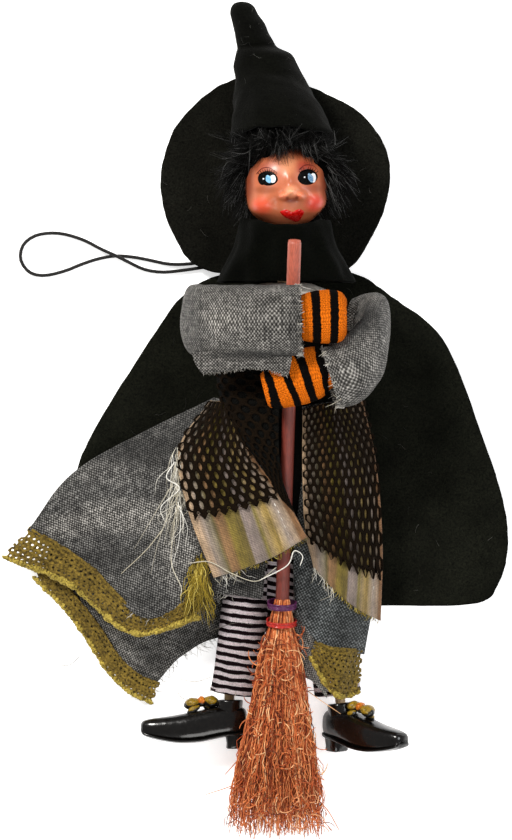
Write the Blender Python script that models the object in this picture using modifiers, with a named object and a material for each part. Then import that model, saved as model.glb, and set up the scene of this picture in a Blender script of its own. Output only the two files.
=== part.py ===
"""A hanging witch doll that holds a broom, lying on her back with her hanging loop beside her.

The frame: +Z up out of the surface she lies on, +Y towards the tip of her hat, +X to the right of
somebody looking down at her. She faces up, so her own right hand is on the -X side. The origin is
the middle of the space she covers, on the surface. Places and sizes below are in millimetres, and
mm() turns them into Blender's metres.
"""

import math

import bmesh
import bpy
from mathutils import Matrix, Vector

MM = 0.001

# Driving dimensions, in millimetres.
BODY_X = 8.8  # the doll's midline
NECK_Z = 17.5
HEAD_CENTRE = (BODY_X, 70.0, NECK_Z)
HEAD_RADII = (12.8, 13.6, 12.8)
HEAD_WALL = 2.0
GAP = 0.3  # between two pieces that touch
FELT = 1.2  # thickness of the cape and the hat
CLOTH = 0.7  # thickness of the dress cloths
LACE_THICK = 0.6
NECK_PEG_RADIUS = 2.5
SHOULDER_Y = 31.0
SHOULDER_Z = 17.0
WIRE_RADIUS = 0.6
DOWEL_RADIUS = 1.5
STICK_TOP = (11.3, 52.8, 43.0)
STICK_END = (7.5, -61.0, 17.3)
STICK_RADIUS = 2.0
CORD_DIAMETER = 1.0
CAPE_TOP = FELT  # the cape's upper face, with its back on the surface
BRIM_LOW = 2.7  # underside of the brim, clear of the loop's knot
RIGHT_HIP = (-4.0, -25.0, 10.5)
LEFT_HIP = (15.5, -25.0, 10.5)
RIGHT_ANKLE = (-7.9, -84.3, 5.2)
LEFT_ANKLE = (25.2, -85.2, 6.85)
LEFT_LEG_LEAN = 6.0  # degrees, in the plane of the surface
LEFT_SHOE_ROLL = -46.0  # degrees about the leg, toe up out of the surface
LEFT_SHOE_DROOP = -9.0  # degrees, the foot's angle to its leg
RING = 16  # points round a soft tube

COLOURS = {
    # name: (colour, roughness, metallic)
    "skin": ((0.80, 0.36, 0.24), 0.35, 0.0),
    "hair": ((0.03, 0.03, 0.035), 0.6, 0.0),
    "felt": ((0.012, 0.012, 0.010), 0.95, 0.0),
    "burlap": ((0.22, 0.20, 0.18), 0.85, 0.0),
    "bodice_cloth": ((0.05, 0.05, 0.05), 0.9, 0.0),
    "lace": ((0.45, 0.36, 0.08), 0.85, 0.0),
    "ribbon": ((0.42, 0.30, 0.15), 0.5, 0.0),
    "net": ((0.06, 0.04, 0.02), 0.8, 0.0),
    "knit": ((0.80, 0.28, 0.04), 0.9, 0.0),
    "striped": ((0.45, 0.40, 0.38), 0.8, 0.0),
    "shoe_plastic": ((0.01, 0.01, 0.008), 0.2, 0.0),
    "bow_paint": ((0.25, 0.20, 0.03), 0.3, 0.0),
    "stick_wood": ((0.42, 0.10, 0.06), 0.5, 0.0),
    "fibre": ((0.50, 0.21, 0.09), 0.8, 0.0),
    "tie_wire": ((0.30, 0.03, 0.08), 0.4, 0.2),
    "steel": ((0.55, 0.55, 0.55), 0.35, 1.0),
    "pale_wood": ((0.60, 0.45, 0.28), 0.7, 0.0),
    "stuffing": ((0.75, 0.72, 0.66), 0.95, 0.0),
    "elastic": ((0.02, 0.016, 0.014), 0.6, 0.0),
}


def mm(point):
    return Vector(point) * MM


def material(name):
    found = bpy.data.materials.get(name)
    if found:
        return found
    colour, roughness, metallic = COLOURS[name]
    made = bpy.data.materials.new(name)
    made.use_nodes = True
    shader = made.node_tree.nodes["Principled BSDF"]
    shader.inputs["Base Color"].default_value = (*colour, 1.0)
    shader.inputs["Roughness"].default_value = roughness
    shader.inputs["Metallic"].default_value = metallic
    return made


def collection(name, hidden=False):
    made = bpy.data.collections.new(name)
    made.hide_render = hidden
    bpy.context.scene.collection.children.link(made)
    return made


# ---------------------------------------------------------------- shape tools


def smooth(points, count):
    """count points evenly spaced by parameter along a smooth curve through the given points."""
    points = [Vector(p) for p in points]
    padded = [2 * points[0] - points[1], *points, 2 * points[-1] - points[-2]]
    spans = len(points) - 1
    found = []
    for i in range(count):
        at = i * spans / (count - 1)
        k = min(int(at), spans - 1)
        t = at - k
        a, b, c, d = padded[k : k + 4]
        found.append(
            0.5
            * (
                2 * b
                + (c - a) * t
                + (2 * a - 5 * b + 4 * c - d) * t**2
                + (3 * b - a - 3 * c + d) * t**3
            )
        )
    return found


def oval(centre, across, up, half_across, half_up, count=RING, power=2.0):
    """A ring of points; a power over 2 squares its corners."""
    ring = []
    for i in range(count):
        angle = 2 * math.pi * i / count
        c, s = math.cos(angle), math.sin(angle)
        a = math.copysign(abs(c) ** (2 / power), c) * half_across
        b = math.copysign(abs(s) ** (2 / power), s) * half_up
        ring.append(Vector(centre) + Vector(across) * a + Vector(up) * b)
    return ring


def mesh_object(name, build, at=(0, 0, 0)):
    """An object whose origin is at the given place, with its mesh made in world millimetres."""
    mesh = bpy.data.meshes.new(name)
    bm = bmesh.new()
    build(bm)
    bmesh.ops.recalc_face_normals(bm, faces=bm.faces)
    bmesh.ops.transform(bm, matrix=Matrix.Scale(MM, 4), verts=bm.verts)
    bmesh.ops.translate(bm, vec=-mm(at), verts=bm.verts)
    bm.to_mesh(mesh)
    bm.free()
    made = bpy.data.objects.new(name, mesh)
    made.location = mm(at)
    return made


def loft(name, rings, caps=(True, True), wall=0.0):
    """A body through rings of as many points each, or with a wall, a tube open at its ends."""

    def build(bm):
        rows = [[bm.verts.new(p) for p in ring] for ring in rings]
        for low, high in zip(rows, rows[1:]):
            for i in range(len(low)):
                j = (i + 1) % len(low)
                bm.faces.new((low[i], low[j], high[j], high[i]))
        for row, capped in zip((rows[0], rows[-1]), caps):
            if capped:
                bm.faces.new(row)

    made = mesh_object(name, build)
    if wall:
        hollow = made.modifiers.new("wall", "SOLIDIFY")
        hollow.thickness = wall * MM
        hollow.offset = -1.0
    return made


def along_y(stations, count=RING, grow=0.0, power=2.0):
    """Rings across +Y, from (y, centre x, centre z, half width, half height)."""
    return [
        oval((x, y, z), (1, 0, 0), (0, 0, 1), wide + grow, high + grow, count, power)
        for y, x, z, wide, high in stations
    ]


def along_path(points, widths, heights, width_axis, count=RING):
    """Rings square to a path, their width as near to the width axis as that allows."""
    points = [Vector(p) for p in points]
    rings = []
    wide = Vector(width_axis)
    for i, point in enumerate(points):
        ahead = points[min(i + 1, len(points) - 1)] - points[max(i - 1, 0)]
        ahead.normalize()
        across = (wide - ahead * wide.dot(ahead)).normalized()
        up = ahead.cross(across)
        rings.append(oval(point, across, up, widths[i], heights[i], count))
    return rings


def sheet(name, curves, across, down, thickness, offset=1.0, at=(0, 0, 0)):
    """Cloth through guide curves, each smoothed to as many points, and made thick by Solidify."""
    rows = [smooth(curve, across) for curve in curves]
    columns = [smooth(list(column), down) for column in zip(*rows)]

    def build(bm):
        grid = [[bm.verts.new(p) for p in column] for column in columns]
        for left, right in zip(grid, grid[1:]):
            for i in range(down - 1):
                bm.faces.new((left[i], right[i], right[i + 1], left[i + 1]))

    made = mesh_object(name, build, at)
    for face in made.data.polygons:
        if face.normal.z < 0:
            made.data.flip_normals()
        break
    wall = made.modifiers.new("thickness", "SOLIDIFY")
    wall.thickness = thickness * MM
    wall.offset = offset
    return made


def flat_sheet(name, outline, low, thickness, hole=None):
    """A flat sheet cut to an outline, with its underside at the height low."""
    data = bpy.data.curves.new(name, "CURVE")
    data.dimensions = "2D"
    data.fill_mode = "BOTH"
    data.extrude = thickness / 2 * MM
    for points in filter(None, (outline, hole)):
        spline = data.splines.new("POLY")
        spline.points.add(len(points) - 1)
        for point, (x, y) in zip(spline.points, points):
            point.co = (x * MM, y * MM, 0, 1)
        spline.use_cyclic_u = True
    made = bpy.data.objects.new(name, data)
    made.location.z = (low + thickness / 2) * MM
    return made


def closed_outline(points, count):
    """A smooth closed outline through points, as (x, y) pairs."""
    wrapped = [(*p, 0) for p in (*points, points[0])]
    return [(p.x, p.y) for p in smooth(wrapped, count + 1)[:-1]]


def tube(name, points, radius, sides=2):
    """A round tube along points in millimetres."""
    data = bpy.data.curves.new(name, "CURVE")
    data.dimensions = "3D"
    data.bevel_depth = radius * MM
    data.bevel_resolution = sides
    data.use_fill_caps = True
    spline = data.splines.new("POLY")
    spline.points.add(len(points) - 1)
    for point, place in zip(spline.points, points):
        point.co = (*mm(place), 1)
    return bpy.data.objects.new(name, data)


def rod(name, start, end, radius, sides=16):
    """A straight rod between two places, as a cylinder turned to lie between them."""
    start, end = mm(start), mm(end)

    def build(bm):
        bmesh.ops.create_cone(
            bm,
            cap_ends=True,
            segments=sides,
            radius1=radius,
            radius2=radius,
            depth=(end - start).length / MM,
        )

    made = mesh_object(name, build)
    made.location = (start + end) / 2
    made.rotation_euler = (end - start).to_track_quat("Z", "Y").to_euler()
    return made


def ball(name, centre, radii, sides=20):
    def build(bm):
        bmesh.ops.create_uvsphere(bm, u_segments=sides, v_segments=sides // 2, radius=1.0)
        bmesh.ops.scale(bm, vec=radii, verts=bm.verts)

    made = mesh_object(name, build)
    made.location = mm(centre)
    return made


def block(name, low, high):
    size = Vector(high) - Vector(low)

    def build(bm):
        bmesh.ops.create_cube(bm, size=1.0)
        bmesh.ops.scale(bm, vec=size, verts=bm.verts)

    made = mesh_object(name, build)
    made.location = mm((Vector(low) + Vector(high)) / 2)
    return made


class Doll:
    """Keeps the parts, their joints' empties and the cutters in their collections."""

    def __init__(self):
        self.parts = collection("witch_doll")
        self.cutters = collection("cutters", hidden=True)

    def pivot(self, name, at, parent=None):
        """An empty on a joint's axis."""
        made = bpy.data.objects.new(name, None)
        made.empty_display_size = 0.01
        self.parts.objects.link(made)
        made.location = mm(at)
        if parent:
            made.parent = parent
            made.location -= parent.matrix_world.translation
        bpy.context.view_layer.update()
        return made

    def add(self, made, finish, pivot=None, soft=True):
        """Puts a finished shape among the parts, and hangs it on its joint's empty."""
        self.parts.objects.link(made)
        made.data.materials.append(material(finish))
        if made.type == "MESH" and soft:
            made.data.shade_smooth()
        if pivot:
            made.parent = pivot
            made.matrix_parent_inverse = pivot.matrix_world.inverted()
        return made

    def boolean(self, target, tool, operation="DIFFERENCE"):
        tool.hide_render = True
        tool.display_type = "WIRE"
        self.cutters.objects.link(tool)
        if target.parent:
            tool.parent = target.parent
            tool.matrix_parent_inverse = target.matrix_parent_inverse
        step = target.modifiers.new(tool.name, "BOOLEAN")
        step.operation = operation
        step.object = tool
        step.solver = "EXACT"


# ---------------------------------------------------------------- body and neck

TORSO = (
    (-22.0, BODY_X, 12.2, 12.0, 5.8),
    (-19.0, BODY_X, 12.4, 14.0, 7.2),
    (-11.0, BODY_X, 13.5, 16.0, 9.3),
    (0.0, BODY_X, 15.0, 15.5, 10.8),
    (15.0, BODY_X, 16.0, 16.0, 11.8),
    (30.0, BODY_X, 16.5, 17.0, 12.0),
    (37.0, BODY_X, 16.5, 15.0, 10.0),
    (40.5, BODY_X, 17.0, 8.0, 7.0),
)


def torso_core(doll):
    core = doll.add(loft("torso_core", along_y(TORSO, 20)), "stuffing")
    neck_hole = (BODY_X, 24.0, NECK_Z), (BODY_X, 45.0, NECK_Z)
    doll.boolean(core, rod("neck_bore", *neck_hole, NECK_PEG_RADIUS + GAP))
    for side, inner, outer in (("right", -2.5, -12.0), ("left", 20.1, 29.6)):
        ends = (inner, SHOULDER_Y, SHOULDER_Z), (outer, SHOULDER_Y, SHOULDER_Z)
        doll.boolean(core, rod(f"{side}_shoulder_bore", *ends, WIRE_RADIUS + GAP, 12))
    return core


def dress_bodice(doll):
    """A sleeveless cloth tube round the torso, open at the waist and the neck."""
    rings = along_y(TORSO[2:], 20, CLOTH + GAP)[:-1]
    bodice = doll.add(loft("dress_bodice", rings, (False, False), CLOTH), "bodice_cloth")
    for side, inner, outer in (("right", -3.5, -12.0), ("left", 21.1, 29.6)):
        ends = (inner, SHOULDER_Y, SHOULDER_Z), (outer, SHOULDER_Y, SHOULDER_Z)
        doll.boolean(bodice, rod(f"{side}_armhole", *ends, 2.4, 12))
    return bodice


def neck_peg(doll):
    ends = (BODY_X, 25.0, NECK_Z), (BODY_X, 66.0, NECK_Z)
    return doll.add(rod("neck_peg", *ends, NECK_PEG_RADIUS), "pale_wood")


# ---------------------------------------------------------------- head and hat


def head(doll, pivot):
    """A hollow vinyl head with a round nose, open at the neck where it turns on the peg."""
    face = doll.add(ball("head", HEAD_CENTRE, HEAD_RADII, 28), "skin", pivot)
    nose = ball("nose_shape", (BODY_X + 1.0, 66.2, 30.2), (2.1, 1.9, 2.4), 14)
    doll.boolean(face, nose, "UNION")
    inside = [r - HEAD_WALL for r in HEAD_RADII]
    doll.boolean(face, ball("head_hollow", HEAD_CENTRE, inside, 20))
    ends = (BODY_X, 50.0, NECK_Z), (BODY_X, 70.0, NECK_Z)
    doll.boolean(face, rod("head_neck_bore", *ends, NECK_PEG_RADIUS + GAP))
    return face


def hair(doll, pivot):
    """A fur wig round the top, back and sides of the head, open for the face and the neck."""
    wig = doll.add(ball("hair", (BODY_X, 73.0, 17.4), (16.4, 14.6, 13.1), 24), "hair", pivot)
    clear = [r + GAP for r in HEAD_RADII]
    doll.boolean(wig, ball("hair_inside", HEAD_CENTRE, clear, 28))
    doll.boolean(wig, ball("face_opening", (BODY_X + 0.7, 66.5, 31.0), (11.6, 14.0, 12.5), 24))
    doll.boolean(wig, block("nape_cut", (-20, 40, -5), (40, 62.5, 45)))
    return wig


CROWN = (
    (82.0, 8.0, 18.5, 17.4, 14.2),
    (90.0, 6.6, 17.2, 15.0, 12.4),
    (97.0, 4.8, 14.8, 11.8, 10.2),
    (102.0, 3.6, 13.2, 9.8, 8.6),
    (107.0, 1.7, 11.8, 8.3, 7.3),
    (111.0, -0.5, 10.6, 6.2, 6.0),
    (117.0, -2.7, 9.2, 4.9, 4.6),
    (122.0, -3.8, 8.0, 3.2, 3.2),
    (124.2, -4.2, 7.5, 1.0, 1.0),
)


def hat_crown(doll, pivot):
    """The hat's crumpled cone, a felt shell that is open where the head goes in."""
    return doll.add(loft("hat_crown", along_y(CROWN, 20), (False, True), FELT), "felt", pivot)


BRIM_OUTLINE = (
    (6.0, 103.0),
    (18.5, 98.0),
    (30.0, 92.0),
    (37.0, 84.0),
    (39.8, 75.0),
    (38.8, 65.0),
    (34.5, 54.5),
    (26.5, 44.5),
    (8.0, 42.8),
    (-10.0, 43.5),
    (-19.0, 46.8),
    (-24.5, 55.0),
    (-27.9, 65.0),
    (-28.0, 75.0),
    (-24.0, 87.0),
    (-15.0, 96.5),
    (-6.0, 101.5),
)


def hat_brim(doll, pivot):
    """The hat's round felt brim, lying behind the head, with the hole that the head goes in."""
    outline = closed_outline(BRIM_OUTLINE, 40)
    hole = [(p.x, p.y) for p in oval((BODY_X, 76.0, 0), (1, 0, 0), (0, 1, 0), 11.0, 9.0, 20)]
    return doll.add(flat_sheet("hat_brim", outline, BRIM_LOW, FELT, hole), "felt", pivot)


# ---------------------------------------------------------------- cape

CAPE_OUTLINE = (
    (8.8, 44.3),
    (28.0, 44.0),
    (40.0, 37.0),
    (56.0, 23.5),
    (67.0, -4.0),
    (73.0, -22.0),
    (75.0, -36.0),
    (72.5, -48.0),
    (65.0, -54.6),
    (34.0, -55.2),
    (0.0, -54.9),
    (-32.0, -51.0),
    (-51.0, -43.6),
    (-54.5, -30.0),
    (-53.0, -14.0),
    (-45.0, 2.5),
    (-28.7, 28.0),
    (-20.7, 38.0),
    (-9.0, 43.6),
)


def cape(doll):
    outline = closed_outline(CAPE_OUTLINE, 44)
    return doll.add(flat_sheet("cape", outline, 0.0, FELT), "felt")


def cape_collar(doll):
    """The cape's upper edge, wound round the neck up to the mouth and tied."""
    low = BRIM_LOW + FELT + GAP
    stations = (
        (41.2, BODY_X, 16.5, 20.5, 16.5 - low),
        (45.0, BODY_X, 16.7, 18.6, 16.7 - low),
        (51.0, BODY_X, 17.0, 14.6, 17.0 - low),
        (57.5, BODY_X, 17.4, 13.2, 17.4 - low),
    )
    wrap = doll.add(loft("cape_collar", along_y(stations, 20)), "felt")
    clear = [r + 2 * GAP for r in HEAD_RADII]
    doll.boolean(wrap, ball("chin_room", HEAD_CENTRE, clear, 28))
    ends = (BODY_X, 35.0, NECK_Z), (BODY_X, 60.0, NECK_Z)
    doll.boolean(wrap, rod("collar_neck_bore", *ends, NECK_PEG_RADIUS + GAP))
    return wrap


# ---------------------------------------------------------------- dress

SKIRT_BACK = (
    ((-8.0, 5.0, 1.6), (8.0, 5.0, 1.6), (26.0, 5.0, 1.6)),
    ((-36.0, -12.0, 1.6), (-14.0, -22.0, 1.6), (10.0, -24.0, 1.6), (31.0, -22.0, 1.6)),
    ((-58.0, -34.0, 1.6), (-30.0, -44.0, 1.6), (6.0, -48.0, 1.6), (33.0, -46.0, 1.6)),
    ((-62.0, -48.0, 1.6), (-44.0, -58.0, 1.6), (-8.0, -59.0, 1.6), (32.0, -59.0, 1.6)),
    ((-47.0, -65.5, 0.2), (-34.5, -70.0, 0.2), (-8.0, -67.0, 0.2), (30.0, -66.0, 0.2)),
)
SKIRT_TAIL_HEM = ((-47.3, -66.2, 0.2), (-40.8, -69.0, 0.2), (-34.5, -70.7, 0.2))
SKIRT_FRONT_RIGHT = (
    ((-12.0, 6.0, 17.0), (-6.0, 5.5, 25.0), (-1.0, 5.0, 28.4), (4.0, 4.0, 29.4)),
    ((-31.0, -3.0, 6.5), (-24.0, -11.0, 15.5), (-11.0, -14.0, 22.5), (4.0, -14.0, 25.2)),
    ((-53.5, -15.5, 4.4), (-42.0, -27.0, 11.0), (-24.0, -35.0, 17.0), (-8.0, -34.0, 18.0), (4.0, -33.0, 17.2)),
    ((-67.5, -32.5, 4.4), (-50.0, -43.5, 8.0), (-33.0, -58.5, 14.0), (-16.0, -51.5, 15.6), (2.0, -53.0, 15.2)),
)
LACE_RIGHT = (
    ((-67.9, -33.2, 4.4), (-50.3, -44.2, 8.0), (-33.2, -59.3, 14.0), (-17.6, -53.6, 15.6)),
    ((-75.0, -40.5, 4.0), (-55.0, -48.8, 7.4), (-36.6, -62.8, 13.0), (-17.0, -58.0, 15.2)),
)
SKIRT_FRONT_LEFT = (
    ((13.4, 4.0, 29.2), (18.5, 5.0, 28.0), (23.0, 5.5, 25.0), (29.0, 6.0, 15.0)),
    ((13.6, -16.0, 24.2), (20.0, -16.0, 24.4), (27.0, -17.0, 20.0), (33.0, -17.0, 9.0)),
    ((12.0, -40.0, 17.0), (20.0, -43.0, 17.8), (28.5, -46.0, 15.5), (36.0, -48.0, 5.5)),
    ((15.5, -63.0, 14.2), (22.5, -66.0, 15.2), (29.5, -67.5, 12.8), (35.0, -69.0, 4.5)),
)
LACE_LEFT = (
    ((15.8, -63.7, 14.2), (22.6, -66.7, 15.2), (29.6, -68.2, 12.8), (35.0, -69.7, 4.5)),
    ((18.6, -79.5, 13.2), (23.0, -81.8, 14.4), (28.0, -82.6, 13.0), (33.4, -82.0, 5.0)),
)


def skirt(doll, left_hip):
    """Three cloths of the grey skirt, and the lace along each hem."""
    doll.add(sheet("skirt_back", SKIRT_BACK, 13, 9, CLOTH), "burlap")
    doll.add(sheet("skirt_front_right", SKIRT_FRONT_RIGHT, 13, 9, CLOTH), "burlap")
    doll.add(sheet("skirt_front_left", SKIRT_FRONT_LEFT, 9, 10, CLOTH), "burlap", left_hip)
    tail_edge = [(x - 2.8, y - 8.0, z) for x, y, z in SKIRT_TAIL_HEM]
    doll.add(sheet("skirt_lace_back", (SKIRT_TAIL_HEM, tail_edge), 7, 3, LACE_THICK), "lace")
    doll.add(sheet("skirt_lace_right", LACE_RIGHT, 14, 3, LACE_THICK), "lace")
    doll.add(sheet("skirt_lace_left", LACE_LEFT, 8, 4, LACE_THICK), "lace", left_hip)


APRON_RIGHT = (
    ((-11.5, 5.5, 21.5), (-6.5, 5.0, 27.3), (-2.0, 3.5, 30.0), (2.2, 1.5, 31.4)),
    ((-23.0, -9.0, 19.8), (-13.5, -13.5, 25.0), (-3.0, -16.5, 27.4), (8.0, -21.0, 30.2)),
    ((-20.0, -29.5, 21.4), (-9.0, -30.5, 23.2), (3.0, -30.0, 26.0), (11.6, -30.5, 28.4)),
    ((-10.5, -46.0, 19.6), (-3.0, -44.5, 20.8), (6.5, -40.5, 25.8), (14.8, -37.0, 25.8)),
)
APRON_LEFT = (
    ((14.6, 2.0, 31.0), (19.5, 2.8, 30.0), (24.0, 3.4, 27.0), (31.0, 4.0, 17.0)),
    ((14.2, -15.0, 27.6), (21.0, -14.5, 26.6), (28.0, -14.0, 22.4), (35.0, -12.5, 11.8)),
    ((17.0, -32.0, 21.8), (23.5, -34.0, 21.6), (30.5, -35.0, 18.6), (37.0, -36.0, 9.6)),
    ((17.0, -43.0, 20.0), (23.0, -50.0, 19.6), (30.0, -56.0, 17.2), (36.5, -59.5, 9.0)),
)
NET_LIFT = 1.2  # from the apron's ribbon cloth to the net over it


def netted(apron, last_row):
    """The net over an apron: its first rows moved outwards, ending on the row given."""
    lifted = []
    for row in (*apron[:2], last_row):
        points = [Vector(p) for p in row]
        for i, point in enumerate(points):
            along = points[min(i + 1, len(points) - 1)] - points[max(i - 1, 0)]
            along.normalize()
            lifted.append(point + Vector((-along.z, 0, along.x)) * NET_LIFT)
    width = len(last_row)
    return [lifted[:width], lifted[width : 2 * width], lifted[2 * width :]]


def aprons(doll, left_hip):
    """Two ribbon-cloth aprons over the skirt, each with a net sewn over its upper part."""
    right_end = ((-20.2, -27.5, 21.5), (-9.2, -27.0, 23.8), (2.4, -25.5, 27.0), (10.4, -25.5, 29.6))
    left_end = ((17.0, -37.0, 20.9), (23.4, -42.5, 20.5), (30.4, -46.5, 18.0), (36.8, -48.5, 9.4))
    sides = (
        ("right", APRON_RIGHT, right_end, None),
        ("left", APRON_LEFT, left_end, left_hip),
    )
    for side, apron, net_end, pivot in sides:
        doll.add(sheet(f"apron_ribbon_{side}", apron, 9, 8, 0.5), "ribbon", pivot)
        doll.add(sheet(f"apron_net_{side}", netted(apron, net_end), 9, 6, 0.5), "net", pivot)


# ---------------------------------------------------------------- arms

RIGHT_SLEEVE = (
    (-11.0, 31.0, 17.0),
    (-15.0, 30.6, 18.8),
    (-18.0, 29.6, 25.0),
    (-14.6, 29.2, 34.0),
    (-6.0, 29.1, 41.2),
    (4.0, 29.1, 45.4),
    (13.2, 29.2, 45.4),
)
RIGHT_SLEEVE_SIZES = (5.0, 8.0, 10.4, 10.5, 10.5, 10.5, 10.4), (4.6, 4.4, 4.0, 4.0, 4.2, 4.6, 4.9)
LEFT_SLEEVE = (
    (28.6, 31.0, 17.0),
    (32.6, 30.4, 18.8),
    (35.4, 28.2, 24.5),
    (34.4, 23.6, 31.5),
    (30.8, 17.4, 36.8),
    (26.4, 13.8, 39.6),
    (21.4, 12.2, 40.2),
)
LEFT_SLEEVE_SIZES = (5.0, 7.4, 8.6, 9.0, 9.2, 9.3, 9.4), (4.6, 4.4, 4.0, 4.0, 4.2, 4.4, 4.6)
SLEEVE_WALL = 0.8
RIGHT_GLOVE = (
    (7.6, 29.8, 45.3),
    (14.0, 30.0, 45.0),
    (19.5, 30.2, 44.2),
    (24.5, 30.2, 43.4),
    (26.6, 30.2, 43.2),
)
RIGHT_GLOVE_SIZES = (4.6, 6.8, 7.9, 7.4, 5.2), (1.8, 2.6, 3.6, 3.2, 1.8)
LEFT_GLOVE = (
    (24.0, 12.6, 39.9),
    (19.0, 12.6, 40.2),
    (12.0, 12.8, 40.0),
    (5.4, 12.9, 39.6),
    (2.0, 12.9, 39.2),
)
LEFT_GLOVE_SIZES = (4.0, 6.8, 8.8, 8.2, 5.6), (1.8, 2.6, 3.2, 3.0, 1.8)


def arm(doll, side, sleeve_path, sleeve_sizes, glove_path, glove_sizes, pivot):
    """A cloth sleeve, a knitted mitten, and the bent wire inside them that turns in the shoulder."""
    rings = along_path(sleeve_path, *sleeve_sizes, (0, 1, 0))
    doll.add(loft(f"sleeve_{side}", rings, (False, False), SLEEVE_WALL), "burlap", pivot)

    rings = along_path(glove_path, *glove_sizes, (0, 1, 0))
    glove = doll.add(loft(f"glove_{side}", rings), "knit", pivot)

    inwards = 1 if side == "right" else -1
    shoulder = Vector(sleeve_path[0])
    wire_end = Vector(glove_path[1])
    bend = smooth([shoulder, *[Vector(p) for p in sleeve_path[1:-1]], wire_end], 18)
    wire_path = [shoulder + Vector((6.5 * inwards, 0, 0)), *bend]
    doll.add(tube(f"arm_wire_{side}", wire_path, WIRE_RADIUS, 1), "steel", pivot)
    reach = smooth([bend[-4], bend[-3], bend[-2], bend[-1]], 4)
    hole_path = [*reach, wire_end + (wire_end - bend[-2]).normalized() * 1.0]
    hole = along_path(hole_path, [WIRE_RADIUS + GAP] * 5, [WIRE_RADIUS + GAP] * 5, (0, 1, 0), 10)
    doll.boolean(glove, loft(f"glove_{side}_wire_hole", hole))


# ---------------------------------------------------------------- broom


def on_stick(y):
    """The place on the broomstick's axis at a height y."""
    top, end = Vector(STICK_TOP), Vector(STICK_END)
    return top.lerp(end, (top.y - y) / (top.y - end.y))


BRISTLES = (
    (-49.5, 7.9, 20.0, 3.4, 3.4),
    (-55.0, 7.7, 18.7, 3.3, 3.3),
    (-61.0, 7.5, 17.3, 3.6, 3.6),
    (-70.0, 7.2, 16.6, 6.4, 5.2),
    (-80.0, 6.9, 16.2, 8.0, 6.0),
    (-90.0, 6.6, 16.0, 10.0, 6.6),
    (-100.0, 6.4, 14.6, 12.4, 7.6),
    (-110.0, 6.2, 12.6, 14.6, 8.6),
    (-124.2, 6.0, 10.1, 17.4, 9.6),
)
TIES = (("upper", -54.6), ("lower", -59.8))
TIE_RADIUS = 0.45


def broom(doll, pivot):
    """A painted stick in a bundle of fibre, bound by two turns of wire."""
    end = on_stick(-66.0)
    doll.add(rod("broom_stick", STICK_TOP, end, STICK_RADIUS), "stick_wood", pivot)
    bundle = doll.add(loft("broom_bristles", along_y(BRISTLES, 24)), "fibre", pivot)
    clear = STICK_RADIUS + GAP
    doll.boolean(bundle, rod("stick_hole", on_stick(-40.0), on_stick(-67.0), clear))
    slope = (Vector(STICK_TOP) - Vector(STICK_END)).to_track_quat("Z", "Y").to_euler()
    for name, y in TIES:
        reach = (4.1 if name == "upper" else 4.35) + TIE_RADIUS
        bpy.ops.mesh.primitive_torus_add(
            major_segments=24,
            minor_segments=8,
            major_radius=reach * MM,
            minor_radius=TIE_RADIUS * MM,
            location=mm(on_stick(y)),
            rotation=slope,
        )
        ring = bpy.context.object
        ring.name = f"broom_tie_{name}"
        bpy.context.collection.objects.unlink(ring)
        doll.add(ring, "tie_wire", pivot)


# ---------------------------------------------------------------- legs and shoes

RIGHT_LEG = (
    (0.4, -24.0, 10.6),
    (-1.6, -38.0, 9.6),
    (-3.0, -52.0, 8.6),
    (-4.8, -68.0, 7.2),
    (-6.7, -81.4, 6.0),
)
LEFT_LEG = (
    (16.1, -25.3, 10.5),
    (18.4, -38.0, 9.6),
    (20.4, -52.0, 8.8),
    (22.4, -68.0, 7.6),
    (24.2, -81.4, 6.2),
)
LEG_SIZES = (6.0, 6.8, 6.9, 6.9, 6.9), (4.8, 4.9, 4.8, 4.7, 4.4)


def leg(doll, side, path, ankle, lean, hip):
    """A stuffed, striped trouser leg with a dowel down its middle, which carries the shoe."""
    widths, heights = LEG_SIZES
    rings = along_path(path, widths, heights, (1, 0, 0))
    up = Matrix.Rotation(math.radians(lean), 3, "Z") @ Vector((0, 1, 0))
    trouser = doll.add(loft(f"legging_{side}", rings), "striped", hip)
    foot_end = Vector(ankle) - up * 2.4
    knee = Vector(ankle) + up * 24.0
    inside = rod(f"dowel_bore_{side}", knee + up, foot_end, DOWEL_RADIUS + GAP, 12)
    doll.boolean(trouser, inside)
    doll.add(rod(f"leg_dowel_{side}", knee, foot_end, DOWEL_RADIUS, 12), "pale_wood", hip)


SHOE = (
    # along the foot, sole, instep, half width
    (-5.2, -7.5, -2.8, 2.0),
    (-4.0, -9.3, -1.0, 3.7),
    (1.0, -9.5, -0.8, 4.6),
    (8.5, -11.4, -2.0, 4.9),
    (15.5, -11.6, -3.1, 4.6),
    (22.5, -10.0, -3.9, 3.5),
    (26.0, -8.5, -4.8, 1.8),
)


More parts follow.
